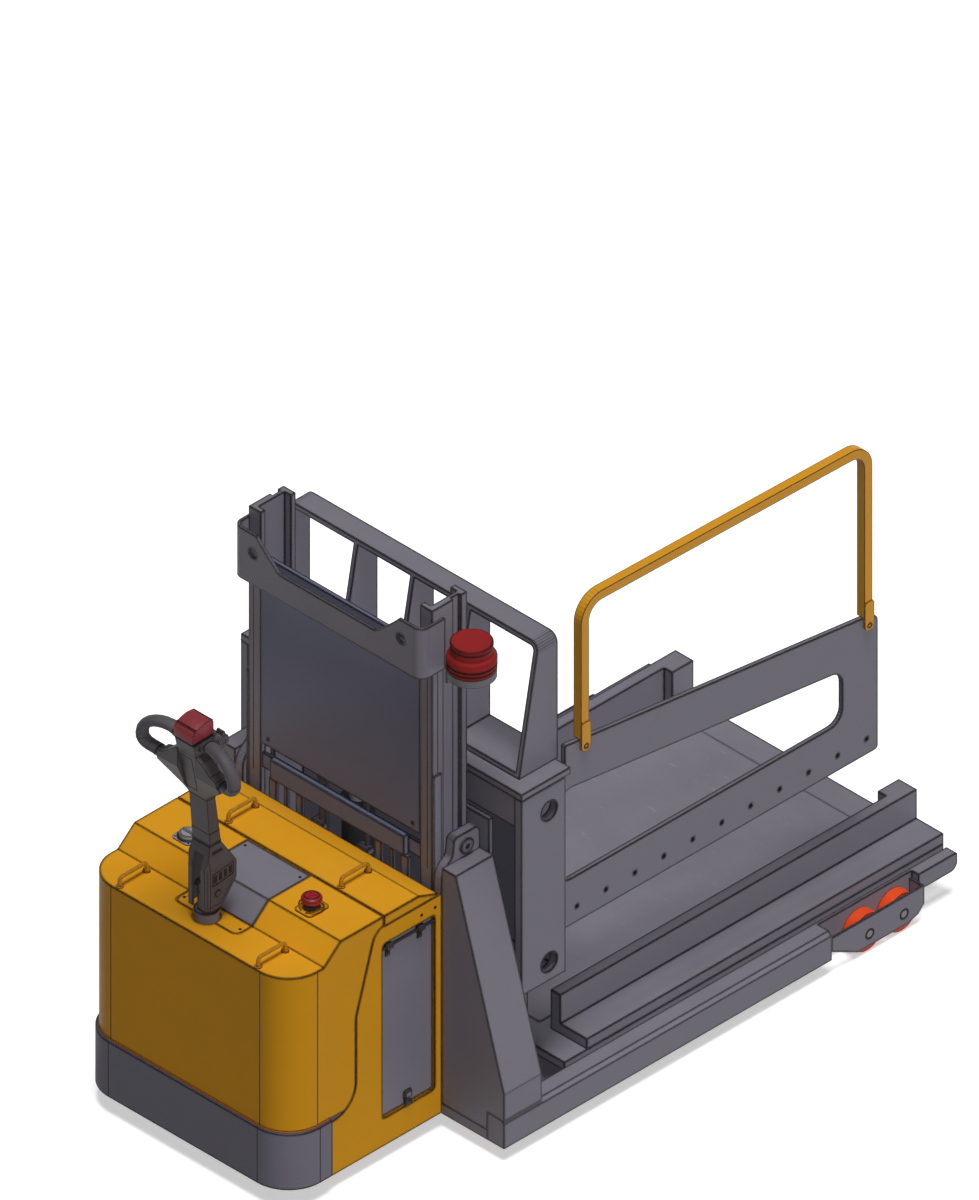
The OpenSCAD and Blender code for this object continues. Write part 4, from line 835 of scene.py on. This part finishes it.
class MastFittings(Operator):
    """Pipes, bars, bolts, washers and welds around the mast, and the belly plate"""
    bl_idname = "rackmover.mast_fittings"
    bl_label = "Mast fittings"

    def execute(self, context):
        radius = context.scene.rack_mover_trim.pipe

        def pipes(bm):
            # Each end turns into the wall behind the pipe
            behind, y = MAST_Y - 3, MAST_Y + 12
            for x in (-92, -70, 86):
                path = [at(x, behind, 186), at(x, y, 186), at(x, y, 560), at(x + 6, y, 700),
                        at(x + 6, y, 920), at(x + 6, MAST_Y + 3, 920)]
                rod(bm, smooth_path(path), radius, 12)
        piece("mast pipes", pipes, "chassis", "pipe")

        def clamps(bm):
            for z in (330, 560, 760):
                for x in (-84, 88):
                    box_mesh(bm, at(x - 24, MAST_WALL_Y, z), at(x + 24, MAST_Y + 21, z + 22), 0.002, 1)
        piece("pipe clamps", clamps, "chassis", "inner steel")

        def rails(bm):
            for s in (-1, 1):
                for x, w in ((140, 26), (198, 14), (240, 30)):
                    box_mesh(bm, at(s * x, MAST_WALL_Y, 241), at(s * (x + w), MAST_Y + 4, 838), 0.0015, 1)
        piece("mast bars", rails, "chassis", "inner steel")

        def lines(bm):
            top, width, height = 1490, 2.6, 0.3
            for s in (-1, 1):
                for y in (621, 642):
                    ribbon(bm, [at(s * MAST_X, y, 160), at(s * MAST_X, y, top)], width, height, (s, 0, 0))
                ribbon(bm, [at(s * 336, MAST_Y, 830), at(s * 336, MAST_Y, top)], width, height, (0, -1, 0))
        piece("mast lines", lines, "chassis", "seam", False)

        def side_bars(bm):
            for s in (-1, 1):
                box_mesh(bm, at(s * (MAST_X + 0.2), MAST_Y - 3, 640),
                         at(s * (MAST_X + 9), MAST_Y + 31, 1150), 0.004, 3)
        piece("mast side bars", side_bars, "chassis", "steel paint")
        piece("belly plate", lambda bm: box_mesh(bm, at(-576, 739, 47), at(576, 1000, 53), 0.001, 1),
              "chassis", "inner steel")

        def bolts(bm):
            for s in (-1, 1):
                for z in (955, 1478):
                    screw(bm, at(s * 280, MAST_Y, z), (0, -1, 0), 7, 2.5)
        piece("mast bolts", bolts, "chassis", "screw steel")

        def washers(bm):
            low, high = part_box("mast_pins")
            for s in (-1, 1):
                turned(bm, Vector((s * high[0], (low[1] + high[1]) / 2, (low[2] + high[2]) / 2)), (s, 0, 0),
                       [(0, -1), (6, -1), (7, 1.6), (24, 1.6), (26, 0.4), (26, -2.5), (0, -2.5)], 40)
        piece("lug washers", washers, "chassis", "steel paint")

        def welds(bm):
            for s in (-1, 1):
                rod(bm, [at(s * x, 738.5, 139.5) for x in range(580, LEG_X, 6)], 2.6, 8)
                rod(bm, [at(s * HALF_W, y, 138) for y in weld_steps(592.8, 140, 8)], 2.0, 8)
                rod(bm, [at(s * 577.5, 739, z) for z in weld_steps(84, 52, 6)], 2.6, 8)
        piece("frame welds", welds, "chassis", "steel paint")
        return {"FINISHED"}


class LoadFittings(Operator):
    """End tabs and bolts of the guard rail, bore rims and welds of the load frame"""
    bl_idname = "rackmover.load_fittings"
    bl_label = "Load frame fittings"

    def execute(self, context):
        tab_t, tab_half = 5, 18

        def tabs(bm):
            for y, z in GUARD_PINS:
                foot = [(tab_half * math.cos(t), tab_half * math.sin(t))
                        for t in (math.radians(180 + 15 * k) for k in range(13))]
                head = [(tab_half, 72), (tab_half - 6, 80), (6 - tab_half, 80), (-tab_half, 72)]
                extruded(bm, [at(ARM_X, y + a, z + b) for a, b in foot + head], (tab_t * MM, 0, 0))
        piece("guard tabs", tabs, "carriage", "bar paint", False)

        def bolts(bm):
            for y, z in GUARD_PINS:
                turned(bm, at(ARM_X + tab_t, y, z), (1, 0, 0),
                       [(0, 0.6), (6, 0.6), (6.6, 2.2), (9.4, 2.2), (10.4, 0), (0, 0)], 24)
        piece("guard bolts", bolts, "carriage", "bar paint")

        def rims(bm):
            for s in (-1, 1):
                for z in (995, 488):
                    turned(bm, at(s * COLUMN_X, 865, z), (s, 0, 0),
                           [(30, -6), (34, -0.2), (34, 1.4), (30.6, 1.4)], 40, True)
        piece("column bore rims", rims, "carriage", "steel paint")

        def beads(bm):
            for s in (-1, 1):
                rod(bm, [at(s * (COLUMN_X + 0.2), y, 1077) for y in weld_steps(758, 171, 9)], 2.0, 8)
                rod(bm, [at(s * 429, y, 150) for y in range(990, 2350, 40)], 2.2, 8)
        piece("load frame welds", beads, "carriage", "steel paint")
        return {"FINISHED"}


class WheelFittings(Operator):
    """Hub plates, axle washers and the nuts of the drive wheel"""
    bl_idname = "rackmover.wheel_fittings"
    bl_label = "Wheel fittings"

    def execute(self, context):
        for s, side in ((1, "right"), (-1, "left")):
            for y, end in zip(WHEEL_Y, ("near", "far")):
                def hub(bm):
                    for face in (-1, 1):
                        spot = at(s * WHEEL_X + face * 19.5, y, WHEEL_Z)
                        for profile in ([(13.2, -0.2), (13.2, 1.0), (30, 1.0), (33, -0.2)],
                                        [(40, -0.2), (40.8, 0.8), (43.2, 0.8), (44, -0.2)]):
                            turned(bm, spot, (face, 0, 0), profile, 40, True)
                piece("wheel hub %s %s" % (side, end), hub, "wheel_%s_%s" % (side, end), "hub")

        def washers(bm):
            for s in (-1, 1):
                for y in WHEEL_Y:
                    turned(bm, at(s * LEG_X, y, WHEEL_Z), (s, 0, 0),
                           [(12.9, 0), (12.9, 1.2), (16.5, 1.2), (17.5, 0)], 32, True)
        piece("axle washers", washers, "chassis", "seam")

        def nuts(bm):
            count, circle = 5, 25
            for face in (-1, 1):
                for k in range(count):
                    angle = 2 * math.pi * k / count
                    spot = at(face * 38, 250 + circle * math.cos(angle), 115 + circle * math.sin(angle))
                    turned(bm, spot, (face, 0, 0), [(0, 3), (3.6, 3), (4.4, 2), (4.4, -0.3), (0, -0.3)], 6)
        piece("drive wheel nuts", nuts, "drive_wheel", "screw steel")
        return {"FINISHED"}


class SetStage(Operator):
    """Floor, lights and the camera of the isometric view"""
    bl_idname = "rackmover.set_stage"
    bl_label = "Stage"

    def execute(self, context):
        scene = context.scene
        stage = scene.rack_mover_stage
        scene.view_settings.view_transform = "Standard"
        floor = bpy.data.materials.new("floor")
        floor.use_nodes = True
        tree = floor.node_tree
        shader = tree.nodes["Principled BSDF"]
        shader.inputs["Roughness"].default_value = 0.9
        shader.inputs["Specular IOR Level"].default_value = 0.0
        shader.inputs["Emission Color"].default_value = (1, 1, 1, 1)
        path = tree.nodes.new("ShaderNodeLightPath")
        seen = math_node(tree, "MAXIMUM", path.outputs["Is Camera Ray"],
                         math_node(tree, "MAXIMUM", path.outputs["Is Glossy Ray"],
                                   path.outputs["Is Transmission Ray"]))
        tree.links.new(mix_colour(tree, seen, (0.1, 0.1, 0.1), (0.93, 0.93, 0.93)),
                       shader.inputs["Base Color"])
        tree.links.new(math_node(tree, "MULTIPLY", seen, 0.42), shader.inputs["Emission Strength"])
        bm = bmesh.new()
        bmesh.ops.create_grid(bm, x_segments=1, y_segments=1, size=stage.floor / 2)
        mesh = bpy.data.meshes.new("floor")
        bm.to_mesh(mesh)
        bm.free()
        mesh.materials.append(floor)
        ground = bpy.data.objects.new("floor", mesh)
        scene.collection.objects.link(ground)

        world = bpy.data.worlds.new("studio")
        scene.world = world
        world.use_nodes = True
        wt = world.node_tree
        back = wt.nodes["Background"]
        back.inputs["Color"].default_value = (1, 1, 1, 1)
        back.inputs["Strength"].default_value = stage.fill
        white = wt.nodes.new("ShaderNodeBackground")
        white.inputs["Strength"].default_value = 1.0
        path = wt.nodes.new("ShaderNodeLightPath")
        mixed = wt.nodes.new("ShaderNodeMixShader")
        wt.links.new(path.outputs["Is Camera Ray"], mixed.inputs["Fac"])
        wt.links.new(back.outputs[0], mixed.inputs[1])
        wt.links.new(white.outputs[0], mixed.inputs[2])
        wt.links.new(mixed.outputs[0], wt.nodes["World Output"].inputs["Surface"])

        for name, energy, way, shadow in (("sun", stage.key, (-0.12, 0.075, -0.99), True),
                                          ("front light", stage.front, (-1, 1, -1), False),
                                          ("side light", stage.side, (-1, 0, 0), False),
                                          ("back light", stage.back, (1, -1, 0), False)):
            lamp = bpy.data.lights.new(name, "SUN")
            lamp.energy = energy
            lamp.angle = math.radians(24)
            lamp.use_shadow = shadow
            made = bpy.data.objects.new(name, lamp)
            made.rotation_euler = Vector(way).to_track_quat("-Z", "Y").to_euler()
            made.visible_glossy = shadow
            scene.collection.objects.link(made)

        # The isometric view: its height, and where it stands across, up and away from the origin
        view_height, across, rise, away = 3.2824, -0.00266, 1.03793, 14.0
        camera = bpy.data.cameras.new("camera")
        camera.type = "ORTHO"
        camera.ortho_scale = view_height
        camera.clip_end = 60.0
        made = bpy.data.objects.new("camera", camera)
        right = Vector((1, 1, 0)).normalized()
        back_way = Vector((1, -1, 1)).normalized()
        up = back_way.cross(right)
        spot = right * across + up * rise + back_way * away
        turn = Matrix((right, up, back_way)).transposed().to_4x4()
        made.matrix_world = Matrix.Translation(spot) @ turn
        scene.collection.objects.link(made)
        scene.camera = made
        return {"FINISHED"}


class RackMoverPanel(Panel):
    """Lists the settings and the steps"""
    bl_idname = "RACKMOVER_PT_steps"
    bl_label = "Rack mover"
    bl_space_type = "VIEW_3D"
    bl_region_type = "UI"
    bl_category = "Rack mover"

    def draw(self, context):
        look = context.scene.rack_mover_look
        stage = context.scene.rack_mover_stage
        trim = context.scene.rack_mover_trim
        for owner, names in ((look, ("steel", "cover", "line_width")), (trim, ("screw", "pipe")),
                             (stage, ("key", "fill", "front", "side", "back", "floor"))):
            for name in names:
                self.layout.prop(owner, name)
        for step in STEPS:
            self.layout.operator(step.bl_idname)


STEPS = (DressSolids, CoverFittings, DoorFittings, ControlFittings, TillerFittings, BeaconFittings,
         MastFittings, LoadFittings, WheelFittings, SetStage)
CLASSES = (RackMoverLook, RackMoverTrim, RackMoverStage, *STEPS, RackMoverPanel)


def register():
    for cls in CLASSES:
        bpy.utils.register_class(cls)
    bpy.types.Scene.rack_mover_look = PointerProperty(type=RackMoverLook)
    bpy.types.Scene.rack_mover_trim = PointerProperty(type=RackMoverTrim)
    bpy.types.Scene.rack_mover_stage = PointerProperty(type=RackMoverStage)


def unregister():
    del bpy.types.Scene.rack_mover_stage
    del bpy.types.Scene.rack_mover_trim
    del bpy.types.Scene.rack_mover_look
    for cls in reversed(CLASSES):
        bpy.utils.unregister_class(cls)


def main():
    register()
    for step in STEPS:
        area, name = step.bl_idname.split(".")
        getattr(getattr(bpy.ops, area), name)()


if __name__ == "__main__":
    main()
